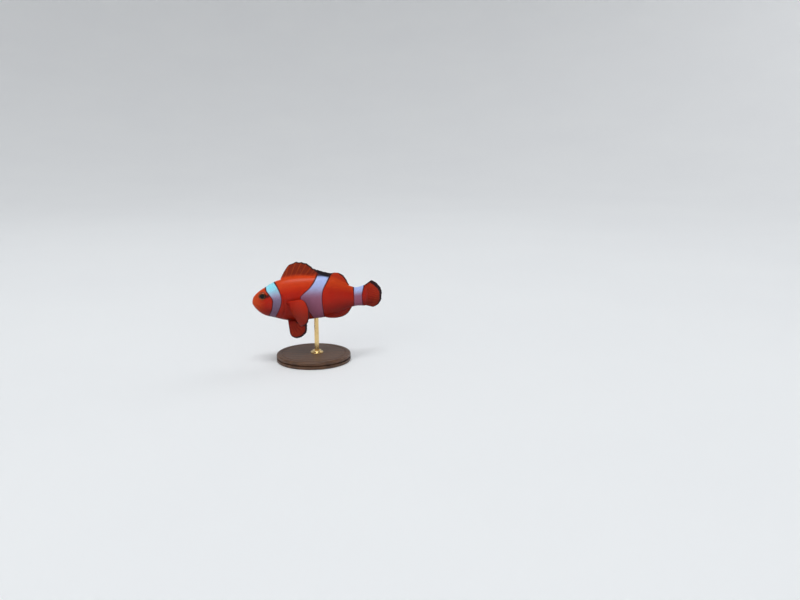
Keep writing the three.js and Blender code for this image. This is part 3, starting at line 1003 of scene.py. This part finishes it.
# in the next two a pair is a range that a colour comes in or goes over. Ups and downs are shares of the way
# from the widest line, 0, to the back, 1, or to the belly, -1. Places are millimetres from the snout.
orangeLook = {
    # painted shade: the orange darkens towards the belly
    "low": (-0.9, 0.15),
    # painted light along the back
    "top": (0.25, 1.0),
    "topEnds": ((1.0, 1.2), (57.0, 61.0)),  # where the painted light along the back fades: on the dorsal fin and on the tail
    "topLoss": 0.7,
    # painted light on the snout's upper half
    "snoutTo": (1.0, 8.0),
    "snoutUp": (-1.4, 0.0),
    "snout": 0.85,
    "gillShade": 0.55,  # painted shade behind the gill cover, round the pectoral fin's root
    "gillShadeFrom": (14.5, 16.5),
    "gillShadeTo": (21.0, 27.0),
    "gillShadeUp": (-0.2, 0.5),
    "gillShadeFins": (0.0, 0.8),  # it ends this far out on a fin
    "head": 0.78,  # strength of the colour, and what other places add
    "trunk": (9.0, 15.0),
    "trunkMore": 0.17,
    "rear": (34.0, 46.0),
    "rearLess": 0.14,
    "tail": (59.0, 63.0),
    "tailLess": 0.12,
    "flecks": ((260.0, 0.4, 0.8, 0.035, "bright"), (1500.0, 0.55, 0.75, 0.12, "orangeLow")),
    "eyeShade": 0.8,  # runs from the eye to the head's bar
    "eyeShadeAt": (8.5, 0.40),
    "eyeShadeHalf": (1.7, 0.13),
    "eyeShadeEdge": (0.35, 1.1),
}
barLook = {
    # painted shade: the bars darken towards the belly
    "low": (-0.75, 0.2),
    "behindHead": (20.0, 25.0),
    # painted shade: a mauve band on the lower flank, stronger behind the head
    "mauveFrom": (-1.0, -0.4),
    "mauveTo": (0.0, 0.62),
    "mauveShade": 0.3,
    "mauveBehindHead": 0.55,
    # painted shade on the lower half of the head's bar
    "dusk": 0.6,
    "duskTo": (0.05, 0.4),
    # painted light at the bars' tops
    "top": (0.2, 0.85),
    "waver": (1300.0, 0.22),  # of the edges: how fine, how much
    "edge": (0.0, 0.2),
    "line": 0.38,  # width of the black along a bar, more towards the back
    "lineMore": 0.35,
    "lineUp": (0.2, 1.0),
    "lineEdge": (0.0, 0.25),
    "lineShare": 0.95,
}


def orangeOf(finish, high, along):
    look = orangeLook
    # painted shade: darker towards the belly
    orange = finish.blend(high.above(*look["low"]), fishColours["orangeLow"], fishColours["orange"])
    # painted light along the back, fading on the dorsal fin and the tail
    lit = high.above(*look["top"])
    for wire, end in zip((high, along), look["topEnds"]):
        lit = lit * (1 - wire.above(*end) * look["topLoss"])
    orange = finish.blend(lit, orange, fishColours["orangeLitTop"])
    # painted light on the snout's upper half
    snout = along.below(*look["snoutTo"]) * high.above(*look["snoutUp"]) * look["snout"]
    orange = finish.blend(snout, orange, fishColours["snout"])
    # painted shade behind the gill cover, kept off the fins
    behindGills = along.above(*look["gillShadeFrom"]) * along.below(*look["gillShadeTo"])
    behindGills = behindGills * finish.attribute("finOut").below(*look["gillShadeFins"])
    shade = behindGills * high.below(*look["gillShadeUp"]) * look["gillShade"]
    orange = finish.blend(shade, orange, fishColours["orangeLow"])
    less = along.above(*look["rear"]) * look["rearLess"] + along.above(*look["tail"]) * look["tailLess"]
    orange = finish.scaled(orange, look["head"] + along.above(*look["trunk"]) * look["trunkMore"] - less)
    for scale, low, top, share, colour in look["flecks"]:
        orange = finish.blend(finish.noise(scale).above(low, top) * share, orange, fishColours[colour])
    offsets = zip((along, high), look["eyeShadeAt"], look["eyeShadeHalf"])
    away = finish.add("ShaderNodeCombineXYZ", None, [(wire - at) / half for wire, at, half in offsets])
    fromShade = finish.add("ShaderNodeVectorMath", {"operation": "LENGTH"}, [away], "Value")
    shade = fromShade.below(*look["eyeShadeEdge"]) * look["eyeShade"]
    return finish.blend(shade, orange, fishColours["black"])


def whiteOf(finish, high, along):
    look = barLook
    # painted shade: the bars darken towards the belly and turn mauve on the lower flank
    white = finish.blend(high.above(*look["low"]), fishColours["whiteShadedLow"], fishColours["white"])
    behindHead = along.above(*look["behindHead"])
    middle = high.above(*look["mauveFrom"]) * high.below(*look["mauveTo"])
    mauveShade = middle * (behindHead * look["mauveBehindHead"] + look["mauveShade"])
    white = finish.blend(mauveShade, white, fishColours["mauveShade"])
    # painted shade on the head bar's lower half
    dusk = (1 - behindHead) * high.below(*look["duskTo"]) * look["dusk"]
    white = finish.blend(dusk, white, fishColours["headBarShade"])
    # painted light at the bars' tops: cyan on the head, lilac further back
    top = finish.blend(behindHead, fishColours["cyanTop"], fishColours["lilacTop"])
    return finish.blend(high.above(*look["top"]), white, top)


def markingsAndPaintedLight(finish, overFin=None):  # the colour with its markings and painted light and shade, and 1 where it is white
    look = barLook
    high = finish.attribute("high")
    along = finish.attribute("along")
    fine, waver = look["waver"]
    bar = finish.attribute("bar") + (finish.noise(fine, 2.0) - 0.5) * waver
    white = whiteOf(finish, high, along)
    if overFin:
        white = finish.blend(overFin, white, fishColours["finOverBar"])
    whiteMask = bar.above(*look["edge"])
    lineWidth = high.above(*look["lineUp"]) * look["lineMore"] + look["line"]
    blackMask = (bar + lineWidth).above(*look["lineEdge"]) * (1 - whiteMask)
    colour = finish.blend(whiteMask, orangeOf(finish, high, along), white)
    return finish.blend(blackMask * look["lineShare"], colour, fishColours["black"]), whiteMask


skinLook = {
    "barOnFin": (-0.1, 1.1),  # a bar goes dark over this distance onto a fin
    "barOnFinDark": 0.95,
    "fin": (0.3, 1.6),
    "ray": (0.03, 0.15),
    "smoke": 0.85,
    "brightRays": 0.16,
    "darkFilm": 0.15,
    "streaks": (0.6, 0.8),
    "inkWaver": (700.0, 0.45),
    "inkEdge": (-0.35, 0.35),
    "inkFrom": (0.0, 0.3),
    "ink": 0.96,
    "jointsPerMm": 20.0,  # of the rays
    "poreSize": (0.6, 0.72),
    "relief": {"grain": 0.45, "streaks": 0.3, "pores": 0.35, "joints": 0.12},
    "bump": 0.00006,
    "rough": (0.28, 0.18),
}


def skinFinish():
    finish = Finish("clownSkin")
    look = skinLook
    relief = look["relief"]
    out = finish.attribute("finOut")
    colour, whiteMask = markingsAndPaintedLight(finish, out.above(*look["barOnFin"]) * look["barOnFinDark"])
    onFin = out.above(*look["fin"])
    onRay = finish.attribute("finRay").below(*look["ray"])
    streaks = finish.noise(1100.0, 2.0)
    colour = finish.blend(finish.attribute("smoke") * look["smoke"], colour, fishColours["smoke"])
    rays = onFin * onRay * (1 - whiteMask) * look["brightRays"]
    colour = finish.blend(rays, colour, fishColours["bright"])
    film = onFin * (1 - onRay) * (1 - whiteMask) * look["darkFilm"]
    least, more = look["streaks"]
    colour = finish.scaled(colour, 1 - film * (streaks * more + least))
    fine, waver = look["inkWaver"]
    ink = finish.attribute("ink") + (finish.noise(fine) - 0.5) * waver
    inkMask = ink.above(*look["inkEdge"]) * out.above(*look["inkFrom"])
    colour = finish.blend(inkMask * look["ink"], colour, fishColours["black"])
    joints = (out * look["jointsPerMm"]).sine() * onRay * onFin
    pores = finish.noise(2600.0, 2.0).above(*look["poreSize"])
    height = finish.noise(5200.0) * relief["grain"] + streaks * relief["streaks"]
    height = height - pores * relief["pores"] + joints * relief["joints"]
    least, more = look["rough"]
    return finish.set(
        Base_Color=colour, Roughness=finish.noise(900.0, 2.0) * more + least,
        Normal=finish.bump(height, look["bump"]),
        Specular_IOR_Level=0.13, Coat_Weight=0.06, Coat_Roughness=0.2,
        Subsurface_Weight=0.08, Subsurface_Scale=0.0012, Subsurface_Radius=(1.0, 0.35, 0.2),
    )


scaleLook = {
    "rim": (0.7, 1.0),
    "rimDark": 0.35,
    "tone": (0.92, 0.16),  # least and spread, from scale to scale
    "rings": 45.0,
    "ringHeight": 0.12,
    "grain": 0.4,
    "bump": 0.000012,
    "rough": (0.33, 0.1),
}


def scaleFinish():
    finish = Finish("clownScales")
    look = scaleLook
    colour, _ = markingsAndPaintedLight(finish)
    grown = finish.attribute("grown")
    tone = finish.attribute("tone")
    least, more = look["tone"]
    rim = 1 - grown.above(*look["rim"]) * look["rimDark"]
    colour = finish.scaled(colour, rim * (tone * more + least))
    height = (grown * look["rings"]).sine() * look["ringHeight"] + finish.noise(5000.0, 2.0) * look["grain"]
    least, more = look["rough"]
    return finish.set(
        Base_Color=colour, Roughness=tone * more + least, Normal=finish.bump(height, look["bump"]),
        Specular_IOR_Level=0.15, Coat_Weight=0.06, Coat_Roughness=0.18,
    )


# the skin: body and fins made one, then smoothed where they meet

skinSmoke = {  # darkens the front of the dorsal fin
    "rise": (0.0, 2.6),
    "to": (34.5, 37.5),
    "above": 0.9,
    "from": 14,
}


def smokeAt(point, out):
    if heightShare(point) <= skinSmoke["above"] or point.x <= skinSmoke["from"]:
        return 0.0
    return ramp(out, *skinSmoke["rise"]) * (1 - ramp(point.x, *skinSmoke["to"]))


def buildSkin():
    bodyPiece = objectFrom(buildBody(), "clownfishSkin")
    print("body:", len(bodyPiece.data.polygons), "faces")
    fins = [
        objectFrom(buildFin(dorsalFin, ridgeRay(dorsalFin, dorsalPlace, backAt, 1)), "dorsalFin"),
        objectFrom(buildFin(analFin, ridgeRay(analFin, analPlace, bellyAt, -1)), "analFin"),
        objectFrom(buildFin(tailFin, tailRay(tailFin)), "tailFin"),
    ]
    flank = -flankPoint(pectoralFin["at"], pectoralFin["height"]).y
    pairs = (("pectoralFin", pectoralFin, flank), ("pelvicFin", pelvicFin, pelvicFin["across"]))
    for side in (-1, 1):
        fins += [objectFrom(buildFin(fin, fanRay(fin, side, across)), name) for name, fin, across in pairs]
    skin = joined(bodyPiece, fins)
    mesh = skin.data
    softenJoins(mesh)
    straight = [vert.co.copy() for vert in mesh.vertices]
    markMesh(mesh, straight, [item.value for item in mesh.attributes["paired"].data])
    out = [item.value for item in mesh.attributes["finOut"].data]
    setValues(mesh, "smoke", [smokeAt(*pair) for pair in zip(straight, out)])
    for vert, point in zip(mesh.vertices, straight):
        vert.co = posed(point)
    mesh.shade_smooth()
    mesh.materials.clear()
    mesh.materials.append(skinFinish())
    print("skin:", triangles(mesh), "triangles")
    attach(skin, "root")
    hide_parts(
        "head", "lower_jaw", "gill_cover_left", "gill_cover_right", "trunk_front", "trunk_rear",
        "tail_stalk", "dorsal_fin_spiny", "dorsal_fin_soft", "anal_fin", "tail_fin", "pectoral_fin_left",
        "pectoral_fin_right", "pelvic_fin_left", "pelvic_fin_right",
    )


# eyes

eyeColours = {
    "iris": ((0.30, 0.036, 0.006), (0.66, 0.120, 0.020)),
    "streak": (0.020, 0.007, 0.003),
    "pupilRim": (0.36, 0.12, 0.02),
    "irisRim": (0.10, 0.012, 0.004),
    "pupil": (0.001, 0.001, 0.002),
}
eyeLook = {
    "streakEdge": (0.75, 1.12),
    "streak": 0.95,
    "pupilRim": (0.05, 0.15),  # past the pupil
    "pupilRimShare": 0.6,
    "irisRim": (1.9, 2.15),
    "pupilEdge": 0.04,
}


def eyeFinish():
    finish = Finish("fishEye")
    look = eyeLook
    pupil = eye["pupil"]
    out = finish.attribute("fromPupil")
    iris = finish.blend(finish.noise(3800.0, 4.0), *eyeColours["iris"])
    streak = finish.attribute("fromStreak").below(*look["streakEdge"]) * look["streak"]
    iris = finish.blend(streak, iris, eyeColours["streak"])
    rim = out.below(*(pupil + off for off in look["pupilRim"])) * look["pupilRimShare"]
    iris = finish.blend(rim, iris, eyeColours["pupilRim"])
    iris = finish.blend(out.above(*look["irisRim"]), iris, eyeColours["irisRim"])
    inPupil = out.below(pupil - look["pupilEdge"], pupil + look["pupilEdge"])
    colour = finish.blend(inPupil, iris, eyeColours["pupil"])
    return finish.set(
        Base_Color=colour, Roughness=0.3, Coat_Weight=0.28, Coat_Roughness=0.02, Specular_IOR_Level=0.08,
    )


def buildEye(side, name, node, material):
    bm = bmesh.new()
    bmesh.ops.create_uvsphere(bm, u_segments=eye["segments"], v_segments=eye["rings"], radius=1)
    fromPupil = bm.verts.layers.float.new("fromPupil")
    fromStreak = bm.verts.layers.float.new("fromStreak")
    turned = eyeAxis.to_track_quat("Z", "X").to_matrix()
    long, tall = eye["streak"]
    for vert in bm.verts:
        inFront = vert.co.z > 0
        local = Vector((vert.co.x * eye["radius"], vert.co.y * eye["radius"], 0))
        r = local.length
        facing = turned @ local
        vert[fromPupil] = r if inFront else -farOff
        vert[fromStreak] = math.hypot((facing.x - eye["streakBack"]) / long, facing.z / tall)
        lens = eye["lens"] * (1 - ramp(r, 0.0, eye["lensTo"])) if inFront else 0.0
        local.z = vert.co.z * eye["halfDepth"] + lens
        point = eyeCentre + turned @ local
        vert.co = posed(Vector((point.x, -side * point.y, point.z)))
    bmesh.ops.recalc_face_normals(bm, faces=bm.faces[:])
    piece = objectFrom(bm, name)
    piece.data.shade_smooth()
    piece.data.materials.append(material)
    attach(piece, "root")
    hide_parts(node)


# the coat of scales

coat = {
    "rows": 22,  # from belly to back
    "pitch": 0.4,  # between columns, as a share of the rows' spacing
    "least": 0.27,
    "front": 4.8,
    "rear": 62.0,
    "sides": 14,
    "inset": 0.42,
    "sharp": 0.7,  # an edge that turns by more stays sharp
    "long": 1.45,  # half a scale's length, in pitches
    "tall": 0.47,  # half its height, in rows
    "taper": 0.12,
    "crown": 0.02,
    "rootSunk": 0.04,
    "lift": 0.085,
    "liftSpread": (-0.02, 0.02),
    "grow": (0.94, 1.06),
    "youngSize": 0.55,  # of the least grown, as a share
    "youngLift": 0.5,
    "leastGrown": 0.12,
    "thick": 0.035,
    "sunk": 0.035,  # of the skin under them
    "bareTo": (  # the skin is bare ahead of this line: height, place
        (-12.0, 12.5), (-9.0, 10.0), (-7.0, 7.2), (-5.0, 6.0), (-2.0, 6.2), (1.0, 7.2), (4.0, 7.9),
        (7.0, 7.3), (10.0, 7.6), (13.0, 9.0),
    ),
    "bareFade": 3.0,
    "eyeBare": (2.9, 4.4),
    "rootsBare": (0.6, 1.5),  # from the paired fins' roots
    "pectoralRoot": (20.9, -1.7, 2.3),  # place, height, half its height
    "pelvicRoot": Vector((20.3, 1.9, -10.6)),
    "pelvicHalf": 0.9,
    "lobe": (59.3, 62.2),
    "lobeLess": 0.6,
    "rimBare": 0.25,  # along the rear edge of the gill cover
    "rimHeights": (-8.6, 4.8),
    "rimFrom": 12.5,
    "underDorsal": (15.2, 52.2),
    "underAnal": (38.2, 53.4),
    "edgeRow": 0.25,  # this near to the belly or the back line, in rows
    "lateralRow": 17,  # tubed scales of the lateral line
    "lateral": (17.0, 50.0),
    "tube": 0.1,
    "ringsFrom": -0.4,  # the growth rings' middle, towards the root
    "mapPatch": 0.003,
    "mapEdge": 0.02,
    "mapLength": 64,
}

bareTo = curveThrough(coat["bareTo"])


def scaleTemplate():
    bm = bmesh.new()
    bmesh.ops.create_circle(bm, cap_ends=True, segments=coat["sides"], radius=1)
    bmesh.ops.inset_region(bm, faces=bm.faces[:], thickness=coat["inset"])
    bmesh.ops.poke(bm, faces=[flat for flat in bm.faces if len(flat.verts) == coat["sides"]])
    rim = [edge for edge in bm.edges if edge.is_boundary]
    skirt = bmesh.ops.extrude_edge_only(bm, edges=rim)["geom"]
    for part in skirt:
        if isinstance(part, bmesh.types.BMVert):
            part.co.z = -1
    bmesh.ops.contextual_create(bm, geom=[part for part in skirt if isinstance(part, bmesh.types.BMEdge)])
    bmesh.ops.recalc_face_normals(bm, faces=bm.faces[:])
    sharpen(bm, coat["sharp"])
    for flat in bm.faces:
        flat.smooth = True
    return objectFrom(bm, "scaleTemplate")


def sharpen(bm, angle):
    for edge in bm.edges:
        if len(edge.link_faces) == 2 and edge.calc_face_angle() > angle:
            edge.smooth = False


def fromFinRoots(at, height, y):
    place, middle, half = coat["pectoralRoot"]
    pectoral = math.hypot(at - place, max(abs(height - middle) - half, 0.0))
    pelvic = (Vector((at, abs(y), height)) - coat["pelvicRoot"]).length - coat["pelvicHalf"]
    return min(pectoral, pelvic)


def onGillRim(at, height):
    inside, rear = fromGillEdge(at, height)
    low, high = coat["rimHeights"]
    return at > coat["rimFrom"] and low < height < high and rear > 0.5 and 0 < inside < coat["rimBare"]


def howGrown(at, height, y):  # of a scale with its root here, 0 where the skin is bare
    if onGillRim(at, height):
        return 0.0
    start = bareTo(height)
    fromEye = math.hypot(at - eye["at"][0], height - eye["at"][1])
    grown = min(
        ramp(at, start, start + coat["bareFade"]),
        ramp(fromEye, *coat["eyeBare"]),
        ramp(fromFinRoots(at, height, y), *coat["rootsBare"]),
    )
    return grown * (1 - coat["lobeLess"] * ramp(at, *coat["lobe"]))


def underFin(at, share):
    front, rear = coat["underDorsal"] if share > 0.5 else coat["underAnal"]
    return front < at < rear


def scalePlaces():
    places = []
    at = coat["rear"]
    column = 0
    rows = coat["rows"]
    lineFront, lineRear = coat["lateral"]
    while at > coat["front"]:
        tall = halfGirth(at) / rows
        pitch = max(coat["pitch"] * tall, coat["least"])
        shift = column % 2 / 2  # every other column stands half a row higher
        for row in range(rows + 1):
            share = (row + shift) / rows
            edgeRow = min(share, 1 - share) < coat["edgeRow"] / rows
            if share > 1 or edgeRow and underFin(at, share):
                continue
            point = fleshPoint(at, turnAt(at, share))
            grown = howGrown(at, point.z, point.y)
            if grown > coat["leastGrown"]:
                places.append({
                    "at": at, "share": share, "tall": tall, "pitch": pitch, "grown": grown,
                    "onCover": fromGillEdge(at, point.z)[0] > 0, "onCheek": at < cheekEdge(point.z),
                    "tubed": row == coat["lateralRow"] and not shift and lineFront < at < lineRear,
                    "edgeRow": edgeRow,
                })
        at -= pitch
        column += 1
    return places


def repeated(template, count, name):  # its mesh, so many times in one place
    rows = template.modifiers.new("rows", "ARRAY")
    rows.count = count
    rows.use_relative_offset = False
    rows.use_constant_offset = True
    rows.constant_offset_displace = (0, 0, 0)
    depsgraph = bpy.context.evaluated_depsgraph_get()
    mesh = bpy.data.meshes.new_from_object(template.evaluated_get(depsgraph))
    bpy.data.objects.remove(template)
    mesh.name = name
    return mesh


def scalePoints(place, local, grow, lift):
    at = place["at"]
    turn = turnAt(at, place["share"])
    normal = fleshNormal(at, turn)
    nudge = 0.02
    perTurn = (fleshPoint(at, turn + nudge) - fleshPoint(at, turn - nudge)).length / (nudge * 2)
    points = []
    for vert in local:
        alongBy = vert.x * place["pitch"] * coat["long"] * grow
        aroundBy = vert.y * place["tall"] * coat["tall"] * grow * (1 - coat["taper"] * vert.x)
        swell = 1 - min(vert.x * vert.x + vert.y * vert.y, 1.0)
        height = lift * (vert.x + 1) / 2 - coat["rootSunk"] + coat["crown"] * swell
        if place["tubed"]:
            height += coat["tube"] * swell
        if vert.z < -0.5:  # the underside
            height -= coat["thick"]
        points.append(skinPoint(at + alongBy, turn + aroundBy / perTurn, normal, place) + normal * height)
    return points


def layBakeMap(mesh, places, local):  # each scale takes the small patch of the map where its root lies
    bakeMap = mesh.uv_layers.new(name="OFBake")
    low, high = coat["mapEdge"], 1 - coat["mapEdge"]
    half = coat["mapPatch"] / 2
    spots = []
    for loop in mesh.loops:
        k, corner = divmod(loop.vertex_index, len(local))
        spots.append(mix(low, high, places[k]["at"] / coat["mapLength"]) + local[corner].x * half)
        spots.append(mix(low, high, places[k]["share"]) + local[corner].y * half)
    bakeMap.uv.foreach_set("vector", spots)


def buildScales(name, places, side, material):
    template = scaleTemplate()
    local = [vert.co.copy() for vert in template.data.vertices]
    middle = coat["ringsFrom"]
    rings = [min(math.hypot(vert.x - middle, vert.y) / (1 - middle), 1.0) for vert in local]
    mesh = repeated(template, len(places), name)
    chance = random.Random(name)
    straight = []
    tones = []
    for place in places:
        tones += [chance.random()] * len(local)
        grow = chance.uniform(*coat["grow"]) * mix(coat["youngSize"], 1.0, place["grown"])
        lift = coat["lift"] + chance.uniform(*coat["liftSpread"])
        straight += scalePoints(place, local, grow, lift * mix(coat["youngLift"], 1.0, place["grown"]))
    coords = []
    for point in straight:
        coords.extend(posed(Vector((point.x, -side * point.y, point.z))))
    mesh.vertices.foreach_set("co", coords)
    markMesh(mesh, straight)
    setValues(mesh, "tone", tones)
    setValues(mesh, "grown", rings * len(places))
    layBakeMap(mesh, places, local)
    if side > 0:  # a mirrored mesh is inside out
        bm = bmesh.new()
        bm.from_mesh(mesh)
        bmesh.ops.reverse_faces(bm, faces=bm.faces[:])
        bm.to_mesh(mesh)
        bm.free()
    mesh.materials.clear()
    mesh.materials.append(material)
    piece = placed(mesh, name)
    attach(piece, "root")
    print(name + ":", len(places), "scales,", triangles(mesh), "triangles")


# the stand

stand = {
    "radius": 20.0,
    "thickness": 4.0,
    "footRound": 0.6,
    "bandTop": 1.6,
    "notch": 1.75,  # height of the notch between the band and the swell over it
    "swell": 1.0,  # radius
    "swellAt": 2.9,
    "topRound": 0.9,
    "grooveIn": 2.8,  # from the edge, on the top
    "groove": 0.25,  # radius
    "grooveFlat": (2.4, 3.4),  # the flat top beside the groove
    "rodRadius": 1.2,
    "rodSunk": 0.5,
    "rodRound": 0.4,
    "rodInFish": 0.9,  # further up than the frame's, so that no gap shows
    "collarRadius": 3.4,
    "collarHeight": 1.4,
    "collarSunk": 0.2,
    "collarBore": 1.25,
    "flange": 0.6,
    "flangeRound": 0.25,
    "coveIn": 0.3,
    "neck": 1.6,
    "neckRound": 0.15,
    "sides": 96,
    "sharp": math.radians(40),
}
woodLook = {
    "stretch": (1.0, 9.0, 9.0),
    "grain": 0.6,  # against the rings' 0.4
    "pore": (0.58, 0.68),
    "poreShare": 0.6,
    "light": (0.165, 0.070, 0.027),
    "dark": (0.040, 0.016, 0.007),
    "poreDark": (0.020, 0.009, 0.005),
    "grainHeight": 0.4,
    "bump": 0.00008,
    "rough": (0.4, 0.2),
}
brassLook = {
    "stretch": (1.0, 1.0, 0.06),
    "tarnish": (0.4, 0.75),
    "bright": (0.88, 0.64, 0.29),
    "dull": (0.70, 0.46, 0.19),
    "bump": 0.000002,
    "rough": (0.14, 0.2),
}


def woodFinish():
    finish = Finish("darkWalnut")
    look = woodLook
    stretch = finish.stretched(look["stretch"])
    grain = finish.noise(60.0, 6.0, stretch)
    waves = {"Vector": finish.place(), "Scale": 90.0, "Distortion": 6.0, "Detail": 4.0, "Detail Scale": 1.5}
    rings = finish.add("ShaderNodeTexWave", {"wave_type": "BANDS", "bands_direction": "Y"}, waves, "Fac")
    pores = finish.noise(900.0, 3.0, stretch).above(*look["pore"]) * look["poreShare"]
    colour = finish.blend(grain * look["grain"] + rings * (1 - look["grain"]), look["dark"], look["light"])
    colour = finish.blend(pores, colour, look["poreDark"])
    normal = finish.bump(grain * look["grainHeight"] - pores, look["bump"])
    least, more = look["rough"]
    return finish.set(
        Base_Color=colour, Roughness=grain * more + least, Normal=normal,
        Coat_Weight=0.08, Coat_Roughness=0.25,
    )


def brassFinish():
    finish = Finish("lacqueredBrass")
    look = brassLook
    drawn = finish.noise(5200.0, 2.0, finish.stretched(look["stretch"]))
    tarnish = finish.noise(160.0, 4.0)
    colour = finish.blend(tarnish.above(*look["tarnish"]), look["bright"], look["dull"])
    normal = finish.bump(drawn, look["bump"])
    least, more = look["rough"]
    return finish.set(Base_Color=colour, Metallic=1.0, Roughness=tarnish * more + least, Normal=normal)


def arc(centre, radius, start, end, steps):
    turns = [math.radians(mix(start, end, k / steps)) for k in range(steps + 1)]
    return [(centre[0] + math.cos(t) * radius, centre[1] + math.sin(t) * radius) for t in turns]


def spun(points, sides):
    bm = bmesh.new()
    verts = [bm.verts.new(Vector((r, 0, z)) * mm) for r, z in points]
    edges = [bm.edges.new(pair) for pair in zip(verts, verts[1:])]
    bmesh.ops.spin(
        bm, geom=verts + edges, cent=(0, 0, 0), axis=(0, 0, 1), dvec=(0, 0, 0),
        angle=2 * math.pi, steps=sides, use_merge=True,
    )
    bmesh.ops.remove_doubles(bm, verts=bm.verts[:], dist=1e-6)
    bmesh.ops.recalc_face_normals(bm, faces=bm.faces[:])
    return bm


def basePoints():
    r = stand["radius"]
    t = stand["thickness"]
    foot, swell, top = stand["footRound"], stand["swell"], stand["topRound"]
    outer, inner = stand["grooveFlat"]
    points = [(0, 0)] + arc((r - foot, foot), foot, -90, 0, 5)
    points += [(r, stand["bandTop"]), (r - swell, stand["notch"])]
    points += arc((r - swell, stand["swellAt"]), swell, -90, 0, 5)[:-1]
    points += arc((r - top, t - top), top, 0, 90, 8) + [(r - outer, t)]
    return points + arc((r - stand["grooveIn"], t), stand["groove"], 0, -180, 6) + [(r - inner, t), (0, t)]


def rodPoints(top):
    r = stand["rodRadius"]
    low = stand["thickness"] - stand["rodSunk"]
    rounding = stand["rodRound"]
    return [(0, low), (r, low)] + arc((r - rounding, top - rounding), rounding, 0, 90, 5) + [(0, top)]


def collarPoints():
    r, bore, neck = stand["collarRadius"], stand["collarBore"], stand["neck"]
    low = stand["thickness"] - stand["collarSunk"]
    flange = stand["thickness"] + stand["flange"]
    top = stand["thickness"] + stand["collarHeight"]
    rounding, neckRound = stand["flangeRound"], stand["neckRound"]
    points = [(bore, low), (r, low)] + arc((r - rounding, flange - rounding), rounding, 0, 90, 5)
    points += arc((r - stand["coveIn"], top), top - flange, -90, -180, 8)
    points += arc((neck, top - neckRound), neckRound, 90, 180, 3)
    return points + [(bore, top - neckRound), (bore, low)]


def turnedPiece(name, points, centre, material, node):
    bm = spun(points, stand["sides"])
    bmesh.ops.translate(bm, verts=bm.verts[:], vec=centre)
    sharpen(bm, stand["sharp"])
    piece = objectFrom(bm, name)
    piece.data.shade_smooth()
    piece.data.materials.append(material)
    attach(piece, "root")
    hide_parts(node)


def buildStand():
    brass = brassFinish()
    rodLow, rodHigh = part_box("stand_rod")
    centre = Vector(((rodLow.x + rodHigh.x) / 2, (rodLow.y + rodHigh.y) / 2, 0))
    rod = rodPoints(rodHigh.z / mm + stand["rodInFish"])
    turnedPiece("turnedBase", basePoints(), Vector((0, 0, 0)), woodFinish(), "stand_base")
    turnedPiece("brassRod", rod, centre, brass, "stand_rod")
    turnedPiece("brassCollar", collarPoints(), centre, brass, "stand_collar")


# floor, light and camera

room = {"floor": 900.0, "sweep": 2400.0, "height": 3200.0, "sides": 96}
lamps = {  # place in metres, width, power and colour
    "topLight": ((-0.2, -0.45, 2.2), 1.2, 28.0, (0.93, 0.97, 1.0)),
    "frontLight": ((-1.6, -1.9, 1.3), 1.4, 8.0, (1.0, 0.97, 0.93)),
    "farLight": ((1.8, 1.4, 1.5), 1.4, 8.0, (0.95, 0.97, 1.0)),
}
lampAim = Vector((0.0, 0.0, 0.035))
roomLight = {"Color": (0.9, 0.93, 1.0, 1), "Strength": 0.27}
camera = {
    "aim": Vector((0.0030, 0.0, 0.0336)),  # the middle of the fish
    "distance": 0.433,
    "above": math.radians(12),
    "turn": math.radians(5.95),  # puts the fish to the left of the middle
    "tilt": math.radians(12.134),
    "focal": 803.0,  # in pixels
    "imageWidth": 800,
    "sensor": 36.0,
}


def floorFinish():
    finish = Finish("paleFloor")
    colour = finish.blend(finish.noise(6.0), (0.88, 0.88, 0.88), (0.92, 0.92, 0.91))
    return finish.set(Base_Color=colour, Roughness=0.8)


def buildStage():  # a floor that sweeps up into a wall all round
    sweep = room["sweep"]
    points = [(0.0, 0.0)] + arc((room["floor"], sweep), sweep, -90, 0, 24)
    bm = spun(points + [(room["floor"] + sweep, room["height"])], room["sides"])
    bmesh.ops.reverse_faces(bm, faces=bm.faces[:])  # it is seen from inside
    floor = objectFrom(bm, "paleFloor")
    floor.data.shade_smooth()
    floor.data.materials.append(floorFinish())


def buildLights():
    for name, (place, width, power, colour) in lamps.items():
        lamp = bpy.data.lights.new(name, "AREA")
        lamp.shape = "DISK"
        lamp.size = width
        lamp.energy = power
        lamp.color = colour
        light = placed(lamp, name)
        light.location = place
        light.rotation_euler = (lampAim - Vector(place)).to_track_quat("-Z", "Y").to_euler()
    world = bpy.data.worlds.new("softRoom")
    world.use_nodes = True
    for key, value in roomLight.items():
        world.node_tree.nodes["Background"].inputs[key].default_value = value
    bpy.context.scene.world = world


def buildCamera():
    lens = bpy.data.cameras.new("camera")
    lens.sensor_width = camera["sensor"]
    lens.lens = camera["focal"] / camera["imageWidth"] * camera["sensor"]
    lens.clip_start = 0.01
    view = placed(lens, "camera")
    back = Vector((0, -math.cos(camera["above"]), math.sin(camera["above"])))
    view.location = camera["aim"] + back * camera["distance"]
    turn, tilt = camera["turn"], camera["tilt"]
    forward = Vector((math.sin(turn) * math.cos(tilt), math.cos(turn) * math.cos(tilt), -math.sin(tilt)))
    view.rotation_euler = forward.to_track_quat("-Z", "Y").to_euler()
    bpy.context.scene.camera = view


bpy.context.scene.view_settings.view_transform = "Standard"
buildCamera()
buildLights()
buildStage()
buildStand()
print("stand and stage done")

buildSkin()

eyeMaterial = eyeFinish()
buildEye(-1, "eyeballLeft", "eye_left", eyeMaterial)
buildEye(1, "eyeballRight", "eye_right", eyeMaterial)
print("eyes done")

scaleMaterial = scaleFinish()
allPlaces = scalePlaces()
for side, name in ((-1, "Left"), (1, "Right")):
    own = [place for place in allPlaces if side < 0 or not place["edgeRow"]]
    half = len(own) // 2
    buildScales("rearScales" + name, own[:half], side, scaleMaterial)
    buildScales("frontScales" + name, own[half:], side, scaleMaterial)
